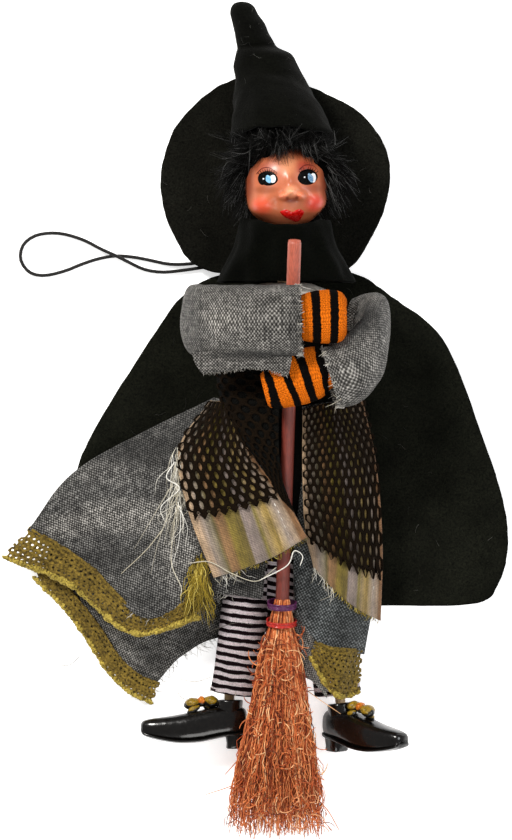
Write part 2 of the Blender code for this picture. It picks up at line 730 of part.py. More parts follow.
def shoe(doll, side, place, droop, pivot):
    """A moulded shoe: foot, heel and ankle in one, with a socket for the dowel, and its bow.

    It is modelled with the ankle at the origin, the toe towards +X, the leg towards +Y and the
    sides towards Z. Place turns it to where it lies, and droop turns the foot down from its ankle.
    """
    rings = [
        oval((x, (low + high) / 2, 0), (0, 1, 0), (0, 0, 1), (high - low) / 2, wide, 14, 2.4)
        for x, low, high, wide in SHOE
    ]
    foot = doll.add(loft(f"shoe_{side}", rings), "shoe_plastic", pivot)
    heel = block(f"heel_shape_{side}", (-4.4, -13.3, -3.0), (1.2, -7.5, 3.0))
    ankle = rod(f"ankle_shape_{side}", (0, -4.0, 0), (0, 1.4, 0), 4.1, 20)
    socket = rod(f"socket_{side}", (0, -3.2, 0), (0, 4.0, 0), DOWEL_RADIUS + GAP, 12)
    bow = doll.add(ball(f"shoe_bow_{side}", (8.4, 0.5, 0), (3.4, 1.7, 2.8), 14), "bow_paint", pivot)
    doll.boolean(foot, heel, "UNION")
    doll.boolean(foot, ankle, "UNION")
    doll.boolean(foot, socket)
    drooped = place @ Matrix.Rotation(math.radians(droop), 4, "Z")
    for piece, lies in ((foot, drooped), (heel, drooped), (bow, drooped), (ankle, place), (socket, place)):
        piece.matrix_parent_inverse = pivot.matrix_world.inverted() @ lies


def shoe_place(ankle, turn, roll, mirrored):
    """Where a shoe lies: rolled about the leg, then turned in the surface's plane."""
    flip = Matrix.Rotation(math.pi, 4, "Y") if mirrored else Matrix.Identity(4)
    rolled = Matrix.Rotation(math.radians(roll), 4, "Y")
    turned = Matrix.Rotation(math.radians(turn), 4, "Z")
    return Matrix.Translation(mm(ankle)) @ turned @ rolled @ flip


# ---------------------------------------------------------------- hanging loop

# From the knot at the nape, out beside the hat, round and back. It crosses over itself once.
LOOP_ROUTE = (
    (-8.4, 47.9, 0.6),
    (-14.0, 47.2, 0.6),
    (-20.6, 46.4, 0.6),
    (-26.0, 46.4, 0.6),
    (-31.9, 47.6, 0.6),
    (-36.8, 48.5, 0.6),
    (-41.8, 48.8, 0.6),
    (-46.7, 48.0, 0.6),
    (-51.7, 46.4, 0.6),
    (-57.0, 44.3, 0.6),
    (-63.0, 43.0, 0.6),
    (-67.4, 44.0, 0.6),
    (-70.0, 47.6, 0.6),
    (-69.4, 51.8, 0.6),
    (-66.2, 54.6, 0.6),
    (-61.5, 55.6, 0.6),
    (-56.6, 55.2, 0.6),
    (-51.0, 53.4, 0.8),
    (-46.4, 51.0, 1.4),
    (-41.6, 48.8, 1.95),
    (-37.6, 46.8, 1.5),
    (-33.2, 44.8, 0.8),
    (-28.0, 44.0, 0.6),
    (-22.0, 44.5, 0.6),
    (-15.0, 45.5, 0.6),
    (-8.4, 46.3, 0.6),
)
LOOP_POINTS = 70
KNOT = (-6.9, 47.1, 1.4)
KNOT_RADIUS = 1.1


def hanging_loop(doll):
    route = smooth(LOOP_ROUTE, LOOP_POINTS)
    doll.add(tube("hanging_loop", route, CORD_DIAMETER / 2), "elastic")
    doll.add(ball("loop_knot", KNOT, [KNOT_RADIUS] * 3, 12), "elastic")


# ---------------------------------------------------------------- assembly


def clear_scene():
    for left_over in list(bpy.data.objects):
        bpy.data.objects.remove(left_over, do_unlink=True)


def main():
    clear_scene()
    doll = Doll()
    neck = doll.pivot("head_turn", (BODY_X, 57.0, NECK_Z))
    right_shoulder = doll.pivot("right_shoulder", (-10.0, SHOULDER_Y, SHOULDER_Z))
    left_shoulder = doll.pivot("left_shoulder", (27.6, SHOULDER_Y, SHOULDER_Z))
    broom_slide = doll.pivot("broom_slide", on_stick(28.0), right_shoulder)
    right_hip = doll.pivot("right_hip", RIGHT_HIP)
    left_hip = doll.pivot("left_hip", LEFT_HIP)
    right_ankle = doll.pivot("right_ankle", RIGHT_ANKLE, right_hip)
    left_ankle = doll.pivot("left_ankle", LEFT_ANKLE, left_hip)

    torso_core(doll)
    neck_peg(doll)
    dress_bodice(doll)
    cape(doll)
    cape_collar(doll)
    skirt(doll, left_hip)
    aprons(doll, left_hip)

    head(doll, neck)
    hair(doll, neck)
    hat_crown(doll, neck)
    hat_brim(doll, neck)

    arm(doll, "right", RIGHT_SLEEVE, RIGHT_SLEEVE_SIZES, RIGHT_GLOVE, RIGHT_GLOVE_SIZES, right_shoulder)
    arm(doll, "left", LEFT_SLEEVE, LEFT_SLEEVE_SIZES, LEFT_GLOVE, LEFT_GLOVE_SIZES, left_shoulder)
    broom(doll, broom_slide)

    right_place = shoe_place(RIGHT_ANKLE, 0.0, 0.0, True)
    left_place = shoe_place(LEFT_ANKLE, LEFT_LEG_LEAN, LEFT_SHOE_ROLL, False)
    leg(doll, "right", RIGHT_LEG, RIGHT_ANKLE, 0.0, right_hip)
    leg(doll, "left", LEFT_LEG, LEFT_ANKLE, LEFT_LEG_LEAN, left_hip)
    shoe(doll, "right", right_place, 0.0, right_ankle)
    shoe(doll, "left", left_place, LEFT_SHOE_DROOP, left_ankle)

    hanging_loop(doll)


main()
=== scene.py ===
"""The looks of the witch doll: cloth, lace, net, hair, fibre, paint and thread round the CAD frame.

Places and sizes are in millimetres in the frame's own axes, and mm() turns them into metres. She lies
on her back with +Z up and +Y towards the tip of her hat, so her own right side is at -X.
"""

import math
import random

import bpy
from mathutils import Matrix, Vector, noise
from mathutils.bvhtree import BVHTree


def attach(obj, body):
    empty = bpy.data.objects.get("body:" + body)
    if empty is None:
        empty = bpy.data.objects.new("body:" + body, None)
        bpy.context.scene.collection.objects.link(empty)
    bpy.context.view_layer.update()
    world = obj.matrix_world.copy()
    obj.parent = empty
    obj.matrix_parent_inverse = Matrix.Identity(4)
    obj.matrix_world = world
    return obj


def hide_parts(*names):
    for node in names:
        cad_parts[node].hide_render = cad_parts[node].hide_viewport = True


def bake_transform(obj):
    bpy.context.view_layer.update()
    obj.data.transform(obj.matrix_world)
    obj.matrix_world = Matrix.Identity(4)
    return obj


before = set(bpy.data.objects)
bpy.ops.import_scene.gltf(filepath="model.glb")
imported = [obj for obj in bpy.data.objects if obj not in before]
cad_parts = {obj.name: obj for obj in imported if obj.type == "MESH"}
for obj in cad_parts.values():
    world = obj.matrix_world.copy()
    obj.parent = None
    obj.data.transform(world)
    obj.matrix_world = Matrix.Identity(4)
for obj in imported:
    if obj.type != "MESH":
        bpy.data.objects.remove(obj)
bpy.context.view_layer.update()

MM = 0.001
TAU = 2 * math.pi
UP = Vector((0, 0, 1))


def mm(point):
    return Vector(point) * MM


# ---------------------------------------------------------------- curves and surfaces


def spline(points, count):
    """count points along a smooth curve through the given points."""
    points = [Vector(p) for p in points]
    padded = [2 * points[0] - points[1], *points, 2 * points[-1] - points[-2]]
    spans = len(points) - 1
    found = []
    for i in range(count):
        at = i * spans / (count - 1)
        k = min(int(at), spans - 1)
        t = at - k
        a, b, c, d = padded[k : k + 4]
        bend = 2 * b + (c - a) * t + (2 * a - 5 * b + 4 * c - d) * t**2
        found.append(0.5 * (bend + (3 * b - a - 3 * c + d) * t**3))
    return found


def jolt(draw, x, y, z):
    """A random step with these spreads along the axes."""
    return Vector((draw.gauss(0, x), draw.gauss(0, y), draw.gauss(0, z)))


def heading(points, n):
    """Which way a line of points runs at its nth point."""
    return (points[min(n + 1, len(points) - 1)] - points[max(n - 1, 0)]).normalized()


def wobble(point, size, seed=0.0):
    """Smooth noise from about -1 to 1 that changes over the given size."""
    return noise.noise(Vector(point) / size + Vector((seed, seed * 1.7, -seed)))


def rippled(reach, size, seed=0.0, hem=False):
    """Folds for a cloth: smooth ripples, which grow towards its hem if so told."""
    return lambda p, s, t: reach * wobble((p.x, p.y, 0), size, seed) * (t if hem else 1.0)


def lerp(a, b, t):
    return a + (b - a) * t


class Cloth:
    """A curved surface through guide curves: s runs from 0 to 1 across it, and t down it."""

    ACROSS, DOWN = 61, 49

    def __init__(self, curves, folds=None):
        rows = [spline(curve, self.ACROSS) for curve in curves]
        columns = [spline(list(column), self.DOWN) for column in zip(*rows)]
        self.grid = [list(row) for row in zip(*columns)]
        if folds:
            self.grid = [
                [
                    p + UP * folds(p, i / (self.ACROSS - 1), j / (self.DOWN - 1)) for i, p in enumerate(row)
                ] for j,
                row in enumerate(self.grid)
            ]
        middle_row, middle_column = self.grid[self.DOWN // 2], [r[self.ACROSS // 2] for r in self.grid]
        self.width = sum((b - a).length for a, b in zip(middle_row, middle_row[1:]))
        self.length = sum((b - a).length for a, b in zip(middle_column, middle_column[1:]))

    def at(self, s, t, lift=0.0):
        x = min(max(s, 0.0), 1.0) * (self.ACROSS - 1)
        y = min(max(t, 0.0), 1.0) * (self.DOWN - 1)
        i, j = min(int(x), self.ACROSS - 2), min(int(y), self.DOWN - 2)
        a, b = self.grid[j][i : i + 2]
        c, d = self.grid[j + 1][i : i + 2]
        near, far = a.lerp(b, x - i), c.lerp(d, x - i)
        point = near.lerp(far, y - j)
        if lift:
            normal = (b - a).cross(c - a).normalized()
            point = point + (normal if normal.z > 0 else -normal) * lift
        return point


def globe(around, up):
    """Rows of directions (x, y, z) round a ball from its +Y pole down: z is the front."""
    for j in range(up + 1):
        lat = math.pi * (0.5 - j / up)
        turns = [TAU * i / around for i in range(around)]
        yield [Vector((math.cos(lat) * math.sin(a), math.sin(lat), math.cos(lat) * math.cos(a))) for a in turns]


def face_up(made):
    """Turns the faces of a flat piece towards the viewer."""
    if sum(f.normal.z for f in made.data.polygons) < 0:
        made.data.flip_normals()


def angled(turn):
    return math.cos(turn), math.sin(turn)


def stations_along(stations, steps):
    """Smooth middles and half sizes through stations of (y, x, z, half width, half depth)."""
    middles = spline([(x, y, z) for y, x, z, _, _ in stations], steps)
    return list(zip(middles, spline([(w, h, 0) for *_, w, h in stations], steps)))


def piece(name, verts, faces, look, uvs=None):
    """A mesh object from points in millimetres; uvs has one pair for each corner of each face."""
    mesh = bpy.data.meshes.new(name)
    mesh.from_pydata([v * MM for v in verts], [], faces)
    if uvs:
        layer = mesh.uv_layers.new(name="cloth")
        layer.data.foreach_set("uv", [x for pair in uvs for x in pair])
    mesh.materials.append(look)
    mesh.polygons.foreach_set("use_smooth", [True] * len(mesh.polygons))
    made = bpy.data.objects.new(name, mesh)
    bpy.context.scene.collection.objects.link(made)
    return made


def grid_piece(name, rows, look, uv=None, wrap=False, caps=False):
    """A mesh through rows of points. uv(i, j) is the cloth's own place for column i and row j."""
    uv = uv or (lambda i, j: (i, j))
    across = len(rows[0])
    faces, uvs = [], []
    for j in range(len(rows) - 1):
        for i in range(across if wrap else across - 1):
            k = (i + 1) % across
            faces.append((j * across + i, j * across + k, (j + 1) * across + k, (j + 1) * across + i))
            uvs += [uv(i, j), uv(i + 1, j), uv(i + 1, j + 1), uv(i, j + 1)]
    verts = [p for row in rows for p in row]
    if caps:
        for j in (0, len(rows) - 1):
            middle = sum(rows[j], Vector()) / across
            verts.append(middle)
            for i in range(across):
                k = (i + 1) % across
                rim = (j * across + k, j * across + i) if j == 0 else (j * across + i, j * across + k)
                faces.append((*rim, len(verts) - 1))
                uvs += [uv(i + 1, j), uv(i, j), uv(i, j)]
    return piece(name, verts, faces, look, uvs)


def final(made, *steps):
    """Applies modifiers given as (kind, settings), so that the mesh is the final one."""
    for kind, settings in steps:
        step = made.modifiers.new(kind.lower(), kind)
        for key, value in settings.items():
            setattr(step, key, value)
    bpy.context.view_layer.update()
    seen = made.evaluated_get(bpy.context.evaluated_depsgraph_get())
    mesh = bpy.data.meshes.new_from_object(seen)
    made.modifiers.clear()
    old, made.data = made.data, mesh
    bpy.data.meshes.remove(old)
    return made


def thick(made, millimetres, offset=1.0):
    return final(made, ("SOLIDIFY", {"thickness": millimetres * MM, "offset": offset}))


def turned(x, y, degrees):
    c, s = angled(math.radians(degrees))
    return (x * c - y * s, x * s + y * c)


def draped(name, cloth, look, thickness, across, down, lift=0.0, grain=None):
    """Cloth made into a piece. Grain turns the weave: with it, the weave runs as seen from above."""
    rows, places = [], {}
    for j in range(down + 1):
        rows.append([cloth.at(i / across, j / down, lift) for i in range(across + 1)])
    for j, row in enumerate(rows):
        for i, p in enumerate(row):
            if grain is None:
                places[i, j] = (i / across * cloth.width, j / down * cloth.length)
            else:
                places[i, j] = turned(p.x, p.y, grain)
    made = grid_piece(name, rows, look, lambda i, j: places[i, j])
    if (rows[0][-1] - rows[0][0]).cross(rows[-1][0] - rows[0][0]).z < 0:
        made.data.flip_normals()
    return thick(made, thickness)


def netting(name, cloth, look, pitch, row_pitch, hole, thickness, lift, edge=None):
    """A net with oval holes in staggered rows, laid on a cloth. Hole is the half width and height."""
    cells_across = max(2, round(cloth.width / pitch))
    cells_down = max(1, round(cloth.length / row_pitch))
    verts, found, faces, uvs = [], {}, [], []

    def vertex(u, v):
        key = (round(u * 24), round(v * 24))
        if key not in found:
            found[key] = len(verts)
            s = u / cells_across
            limit = edge(s) if edge and v > cells_down - 0.5 else 1.0
            verts.append(cloth.at(s, v / cells_down * limit, lift))
        return found[key]

    for row in range(cells_down):
        shift = 0.5 * (row % 2)
        for column in range(cells_across - (row % 2)):
            u, v = column + shift, float(row)
            low, high = (0.16 if row else 0.0), (0.16 if row < cells_down - 1 else 0.0)
            corners = [
                (u, v + low), (u + 0.5, v - low), (u + 1, v + low), (u + 1, v + 1 - high),
                (u + 0.5, v + 1 + high), (u, v + 1 - high)
            ]
            ring = []
            for (a, b), (c, d) in zip(corners, corners[1:] + corners[:1]):
                ring += [(a, b), ((a + c) / 2, (b + d) / 2)]
            centre = Vector((u + 0.5, v + 0.5, 0))
            inner = []
            for a, b in ring:
                away = Vector((a, b, 0)) - centre
                away = Vector((away.x * pitch, away.y * row_pitch, 0)).normalized()
                inner.append((centre.x + away.x * hole[0] / pitch, centre.y + away.y * hole[1] / row_pitch))
            for i in range(12):
                k = (i + 1) % 12
                quad = ring[i], ring[k], inner[k], inner[i]
                faces.append([vertex(*place) for place in quad])
                uvs += [(a * pitch, b * row_pitch) for a, b in quad]
    made = piece(name, verts, faces, look, uvs)
    face_up(made)
    return thick(made, thickness)


def strands(name, paths, radius, look, sides=4, tip=0.35):
    """Fibres as thin tapered tubes in one mesh. Each fibre has its own shade from 0 to 1."""
    verts, faces, shades = [], [], []
    draw = random.Random(name)
    for path in paths:
        shade = draw.random()
        start = len(verts)
        last = len(path) - 1
        size = radius * draw.uniform(0.75, 1.2)
        for n, point in enumerate(path):
            ahead = heading(path, n)
            side = ahead.cross(Vector((0.3, 0.2, 1.0))).normalized()
            over = ahead.cross(side)
            r = size * lerp(1.0, tip, (n / last) ** 2)
            for k in range(sides):
                angle = TAU * k / sides
                verts.append(point + (side * math.cos(angle) + over * math.sin(angle)) * r)
                shades.append(shade)
        for n in range(last):
            low, high = start + n * sides, start + (n + 1) * sides
            for k in range(sides):
                m = (k + 1) % sides
                faces.append((low + k, low + m, high + m, high + k))
        faces.append(tuple(start + k for k in reversed(range(sides))))
        faces.append(tuple(start + last * sides + k for k in range(sides)))
    made = piece(name, verts, faces, look)
    made.data.attributes.new("shade", "FLOAT", "POINT").data.foreach_set("value", shades)
    return made


def oval(centre, across, up, half_across, half_up, count, power=2.0):
    ring = []
    for i in range(count):
        c, s = angled(TAU * i / count)
        a = math.copysign(abs(c) ** (2 / power), c) * half_across
        b = math.copysign(abs(s) ** (2 / power), s) * half_up
        ring.append(Vector(centre) + Vector(across) * a + Vector(up) * b)
    return ring


def rings_along(path, widths, heights, wide, count, steps, power=2.0):
    """Rings square to a smooth path, with their sizes smoothed along it too."""
    points = spline(path, steps)
    sizes = spline([(w, h, 0) for w, h in zip(widths, heights)], steps)
    rings = []
    for n, point in enumerate(points):
        ahead = heading(points, n)
        across = (Vector(wide) - ahead * ahead.dot(Vector(wide))).normalized()
        rings.append(oval(point, across, ahead.cross(across), sizes[n].x, sizes[n].y, count, power))
    return rings


def tube_piece(name, rings, look, wall=0.0, closed=True):
    """A soft tube through rings. Its cloth runs round it, and along it."""
    count = len(rings[0])
    around = sum((a - b).length for a, b in zip(rings[len(rings) // 2], rings[len(rings) // 2][1:]))
    along = [0.0]
    for a, b in zip(rings, rings[1:]):
        along.append(along[-1] + (sum(b, Vector()) / count - sum(a, Vector()) / count).length)
    made = grid_piece(name, rings, look, lambda i, j: (i / count * around, along[j]), True, closed)
    faces_out(made)
    if wall:
        thick(made, wall, -1.0)
    return made


def faces_out(made):
    """Turns the faces of a tube outwards."""
    mesh = made.data
    middle = sum((v.co for v in mesh.vertices), Vector()) / len(mesh.vertices)
    out = sum((f.center - middle).dot(f.normal) * f.area for f in mesh.polygons)
    if out < 0:
        mesh.flip_normals()


def place(made, body=None, slot=None, replaces=(), blend=None):
    """Says what a piece moves with and which CAD nodes it stands for; slot is not used."""
    if blend:
        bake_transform(made)
    else:
        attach(made, body)
    if replaces:
        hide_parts(*replaces)
    return made


# ---------------------------------------------------------------- looks


def srgb(r, g, b):
    """A colour as a screen shows it, 0 to 255 a channel, in Blender's linear values."""
    linear = [((c / 255 + 0.055) / 1.055) ** 2.4 if c > 10 else c / 255 / 12.92 for c in (r, g, b)]
    return (*linear, 1.0)


class Look:
    """A procedural material. Each method adds a node and returns its result, in millimetres where it is a place."""

    def __init__(self, name, roughness, **fixed):
        self.made = bpy.data.materials.new(name)
        self.made.use_nodes = True
        self.tree = self.made.node_tree
        self.shader = self.tree.nodes["Principled BSDF"]
        self.put(self.shader.inputs["Roughness"], roughness)
        for key, value in fixed.items():
            self.shader.inputs[key.replace("_", " ")].default_value = value

    def put(self, socket, value):
        if isinstance(value, bpy.types.NodeSocket):
            self.tree.links.new(value, socket)
        else:
            socket.default_value = value

    def node(self, kind, **settings):
        made = self.tree.nodes.new("ShaderNode" + kind)
        for key, value in settings.items():
            setattr(made, key, value)
        return made

    def math(self, operation, *values):
        made = self.node("Math", operation=operation)
        for socket, value in zip(made.inputs, values):
            self.put(socket, value)
        return made.outputs[0]

    def vector(self, operation, *values):
        made = self.node("VectorMath", operation=operation)
        for socket, value in zip(made.inputs, values):
            self.put(socket, value)
        return made.outputs[0]

    def cloth(self):
        return self.node("UVMap", uv_map="cloth").outputs[0]

    def place(self):
        return self.vector("MULTIPLY", self.node("TexCoord").outputs["Object"], (1000, 1000, 1000))

    def split(self, where):
        made = self.node("SeparateXYZ")
        self.put(made.inputs[0], where)
        return made.outputs

    def noise(self, where, size, detail=3.0, stretch=None, colour=False):
        if stretch:
            where = self.vector("MULTIPLY", where, stretch)
        made = self.node("TexNoise")
        self.put(made.inputs["Vector"], where)
        made.inputs["Scale"].default_value = 1 / size
        made.inputs["Detail"].default_value = detail
        return made.outputs[1 if colour else 0]

    def wander(self, where, size, reach):
        """The same places, moved about by up to the reach."""
        moved = self.vector("SUBTRACT", self.noise(where, size, 2.0, colour=True), (0.5, 0.5, 0.5))
        return self.vector("ADD", where, self.vector("MULTIPLY", moved, (reach, reach, reach)))

    def ramp(self, value, *stops):
        made = self.node("ValToRGB")
        self.put(made.inputs[0], value)
        band = made.color_ramp
        band.elements.remove(band.elements[-1])
        band.elements[0].position, band.elements[0].color = stops[0]
        for at, colour in stops[1:]:
            band.elements.new(at).color = colour
        return made.outputs[0]

    def mix(self, share, a, b, blend="MIX"):
        made = self.node("Mix", data_type="RGBA", blend_type=blend)
        self.put(made.inputs[0], share)
        self.put(made.inputs[6], a)
        self.put(made.inputs[7], b)
        return made.outputs[2]

    def shaded(self, colour, value, low, high):
        """The colour made darker or lighter by a value from 0 to 1."""
        grey = self.ramp(value, (0.25, (low, low, low, 1)), (0.75, (high, high, high, 1)))
        return self.mix(1.0, colour, grey, "MULTIPLY")

    def spots(self, p, colour, spots):
        """Soft round patches laid over a colour: each is (centre, radii, its colour, strength)."""
        for centre, radii, paint, strength in spots:
            length = self.node("VectorMath", operation="LENGTH")
            self.put(length.inputs[0], self.vector("DIVIDE", self.vector("SUBTRACT", p, centre), radii))
            soft = self.node("MapRange", interpolation_type="SMOOTHERSTEP")
            self.put(soft.inputs["Value"], length.outputs["Value"])
            for key, value in (("From Min", 0.2), ("From Max", 1.0), ("To Min", strength), ("To Max", 0.0)):
                soft.inputs[key].default_value = value
            colour = self.mix(soft.outputs[0], colour, paint)
        return colour

    def finish(self, colour, height=None, deep=0.1, roughness=None):
        self.put(self.shader.inputs["Base Color"], colour)
        if height is not None:
            bump = self.node("Bump")
            bump.inputs["Strength"].default_value = 1.0
            bump.inputs["Distance"].default_value = deep * MM
            self.put(bump.inputs["Height"], height)
            self.put(self.shader.inputs["Normal"], bump.outputs[0])
        if roughness is not None:
            self.put(self.shader.inputs["Roughness"], roughness)
        return self.made


def felt(name, dark, light):
    look = Look(name, 0.95, Sheen_Weight=0.02, Sheen_Roughness=0.45, Specular_IOR_Level=0.05)
    p = look.place()
    matted = look.noise(look.wander(p, 1.6, 2.0), 0.5, 6.0)
    patches = look.noise(p, 11.0, 2.0)
    colour = look.ramp(matted, (0.3, dark), (0.7, light))
    colour = look.shaded(colour, patches, 0.6, 1.25)
    return look.finish(colour, matted, 0.18)


def burlap(name, pitch, row, dark, middle, light, spots=(), shine=0.25):
    """A plain weave: pitch and row are half the distance between two bright crossings. Spots are patches of painted
    shade and painted highlight multiplied over it.
    """
    look = Look(name, 0.8, Sheen_Weight=0.24 * shine, Specular_IOR_Level=shine)
    uv = look.cloth()
    x, y, _ = look.split(look.wander(uv, 3.0, 0.75))
    over = look.math("SINE", look.math("MULTIPLY", x, math.pi / pitch))
    under = look.math("SINE", look.math("MULTIPLY", y, math.pi / row))
    crossing = look.math("MULTIPLY", over, under)
    slubs = look.noise(uv, 1.1, 4.0, (0.35, 1.6, 1.0))
    more_slubs = look.noise(uv, 1.1, 4.0, (1.7, 0.3, 1.0))
    tone = look.math("MULTIPLY_ADD", crossing, 0.33, 0.5)
    tone = look.math("ADD", tone, look.math("MULTIPLY_ADD", slubs, 0.9, -0.45))
    tone = look.math("ADD", tone, look.math("MULTIPLY_ADD", more_slubs, 0.7, -0.35))
    colour = look.ramp(tone, (0.12, dark), (0.5, middle), (0.92, light))
    colour = look.shaded(colour, look.noise(uv, 9.0, 3.0), 0.72, 1.22)
    # Painted shade and painted highlights from the spots
    painted_light = look.spots(look.place(), (1.0, 1.0, 1.0, 1.0), spots)
    height = look.math("ADD", look.math("ABSOLUTE", crossing), look.math("MULTIPLY", slubs, 0.8))
    return look.finish(look.mix(1.0, colour, painted_light, "MULTIPLY"), height, 0.3)


def knit(name, period, start, bands, stitch, waver):
    """Striped knit: bands is ((share of the period, colour), ...), and stitch the height of a row."""
    look = Look(name, 0.9, Specular_IOR_Level=0.05)
    uv = look.cloth()
    x, y, _ = look.split(look.wander(uv, 3.2, waver))
    zigzag = look.math("MULTIPLY", look.math("PINGPONG", x, stitch * 0.6), 0.7)
    rows = look.math("DIVIDE", look.math("ADD", y, zigzag), stitch)
    loops = look.math("SINE", look.math("MULTIPLY", rows, TAU))
    columns = look.math("SINE", look.math("MULTIPLY", x, math.pi / (stitch * 0.6)))
    height = look.math("ADD", look.math("MULTIPLY", loops, 0.5), look.math("ABSOLUTE", columns))
    along = look.math("ADD", y, look.math("MULTIPLY_ADD", zigzag, 0.5, start))
    share = look.math("FRACT", look.math("DIVIDE", along, period))
    stops, at = [], 0.0
    for part, colour in bands:
        stops += [(at + 0.03, colour), (at + part - 0.03, colour)]
        at += part
    colour = look.ramp(share, *stops)
    # Painted shade: darker where the stitches dip
    colour = look.shaded(colour, look.math("MULTIPLY_ADD", height, 0.35, 0.2), 0.62, 1.12)
    colour = look.shaded(colour, look.noise(uv, 0.5, 4.0), 0.7, 1.25)
    return look.finish(colour, height, 0.16)


def ribbon(name, width, stripes):
    """Striped ribbon cloth: stripes is ((place across it from 0 to 1, colour), ...)."""
    look = Look(name, 0.7, Sheen_Weight=0.1, Specular_IOR_Level=0.3)
    uv = look.cloth()
    x, y, _ = look.split(look.wander(uv, 4.0, 0.35))
    colour = look.ramp(look.math("DIVIDE", x, width), *stripes)
    threads = look.noise(uv, 0.35, 4.0, (1.0, 0.05, 1.0))
    rep = look.math("SINE", look.math("MULTIPLY", y, TAU / 0.42))
    colour = look.shaded(colour, threads, 0.55, 1.22)
    colour = look.shaded(colour, look.noise(uv, 0.5, 5.0, (1.0, 0.6, 1.0)), 0.72, 1.2)
    # Painted shade in the grooves between the ribs
    colour = look.shaded(colour, look.math("MULTIPLY_ADD", rep, 0.3, 0.5), 0.8, 1.1)
    colour = look.shaded(colour, look.noise(uv, 5.0, 3.0), 0.62, 1.2)
    return look.finish(colour, look.math("ADD", rep, look.math("MULTIPLY", threads, 2.0)), 0.08)


def thread(name, colours, roughness=0.8, sheen=0.05, shine=0.25):
    """Fibres and threads: each one's own shade picks its colour."""
    look = Look(name, roughness, Sheen_Weight=sheen, Specular_IOR_Level=shine)
    shade = look.node("Attribute", attribute_name="shade").outputs["Fac"]
    stops = [(0.04 + 0.92 * i / (len(colours) - 1), c) for i, c in enumerate(colours)]
    colour = look.ramp(shade, *stops)
    grain = look.noise(look.place(), 0.7, 3.0)
    return look.finish(look.shaded(colour, grain, 0.7, 1.2), grain, 0.05)


def spun(name, dark, light, size=0.5, deep=0.12, sheen=0.04, roughness=0.85, shine=0.2):
    """Twisted cotton, as in lace, net and cord."""
    look = Look(name, roughness, Sheen_Weight=sheen, Specular_IOR_Level=shine)
    p = look.place()
    twist = look.noise(look.wander(p, 1.0, 1.0), size, 5.0)
    worn = look.noise(p, 4.0, 3.0)
    colour = look.ramp(twist, (0.3, dark), (0.7, light))
    return look.finish(look.shaded(colour, worn, 0.7, 1.2), twist, deep)


def gloss(name, dark, light, roughness=0.22, coat=0.5, deep=0.03, size=2.0, shine=0.3):
    """Moulded or painted plastic with faint ripples, scuffs and dust."""
    look = Look(name, roughness, Coat_Weight=coat, Coat_Roughness=0.08, Specular_IOR_Level=shine)
    p = look.place()
    ripples = look.noise(p, size, 2.0)
    scuffs = look.noise(look.wander(p, 2.0, 2.0), 0.6, 6.0)
    colour = look.ramp(scuffs, (0.35, dark), (0.75, light))
    rough = look.math("MULTIPLY_ADD", scuffs, 0.25, roughness - 0.1)
    return look.finish(colour, ripples, deep, rough)


def painted_skin(name, base, cheeks, shade_highlights_and_paint):
    """Soft vinyl: cheeks are sprayed blush, and the other patches mix painted shade, a painted highlight and
    lighter colour on the nose with the brows' red paint; each is (centre, radii, colour, strength).
    """
    look = Look(name, 0.42, Coat_Weight=0.22, Coat_Roughness=0.22, Subsurface_Weight=0.1)
    look.shader.inputs["Subsurface Scale"].default_value = 0.0015
    look.shader.inputs["Subsurface Radius"].default_value = (1.0, 0.35, 0.2)
    p = look.place()
    colour = look.mix(look.noise(p, 3.5, 4.0), base, tuple(0.82 * c for c in base[:3]) + (1.0,))
    colour = look.spots(p, colour, (*cheeks, *shade_highlights_and_paint))
    pores = look.noise(p, 0.4, 4.0)
    return look.finish(look.shaded(colour, pores, 0.93, 1.05), pores, 0.02)


def wood(name, upper, lower, shade_from_y):
    """Painted or bare dowel wood with grain along it, which takes the lower colour below a height: painted shade on
    the stick.
    """
    look = Look(name, 0.5, Coat_Weight=0.15, Coat_Roughness=0.3)
    p = look.place()
    grain = look.noise(p, 0.35, 5.0, (1.0, 0.06, 1.0))
    _, y, _ = look.split(look.wander(p, 4.0, 4.0))
    share = look.node("MapRange")
    look.put(share.inputs["Value"], y)
    share.inputs["From Min"].default_value = shade_from_y - 4.0
    share.inputs["From Max"].default_value = shade_from_y + 4.0
    colour = look.mix(share.outputs[0], lower, upper)
    colour = look.shaded(colour, grain, 0.6, 1.25)
    return look.finish(colour, grain, 0.08, look.math("MULTIPLY_ADD", grain, 0.25, 0.4))


FELT_LOOK = felt("felt_black", srgb(6, 6, 4), srgb(28, 28, 23))
CROWN_LOOK = felt("felt_crown", srgb(2, 2, 1), srgb(11, 12, 8))
CAPE_LOOK = felt("felt_cape", srgb(5, 6, 4), srgb(26, 27, 20))
COLLAR_LOOK = felt("felt_collar", srgb(1, 2, 1), srgb(8, 9, 5))
# Near-black weave for the bodice and the sheets behind the middle of the aprons: partly the cloth's own dark and
# partly painted shade, under the arms and between the panels
BODICE_LOOK = burlap("dark_weave", 0.3, 0.35, srgb(3, 3, 2), srgb(9, 9, 7), srgb(28, 27, 24), shine=0.05)
# Patch colours for the weaves: painted shade, deeper painted shade and a painted highlight
SHADE, DEEP_SHADE, PAINTED_HIGHLIGHT = (0.3, 0.3, 0.3, 1.0), (0.12, 0.12, 0.12, 1.0), (2.5, 2.45, 2.4, 1.0)
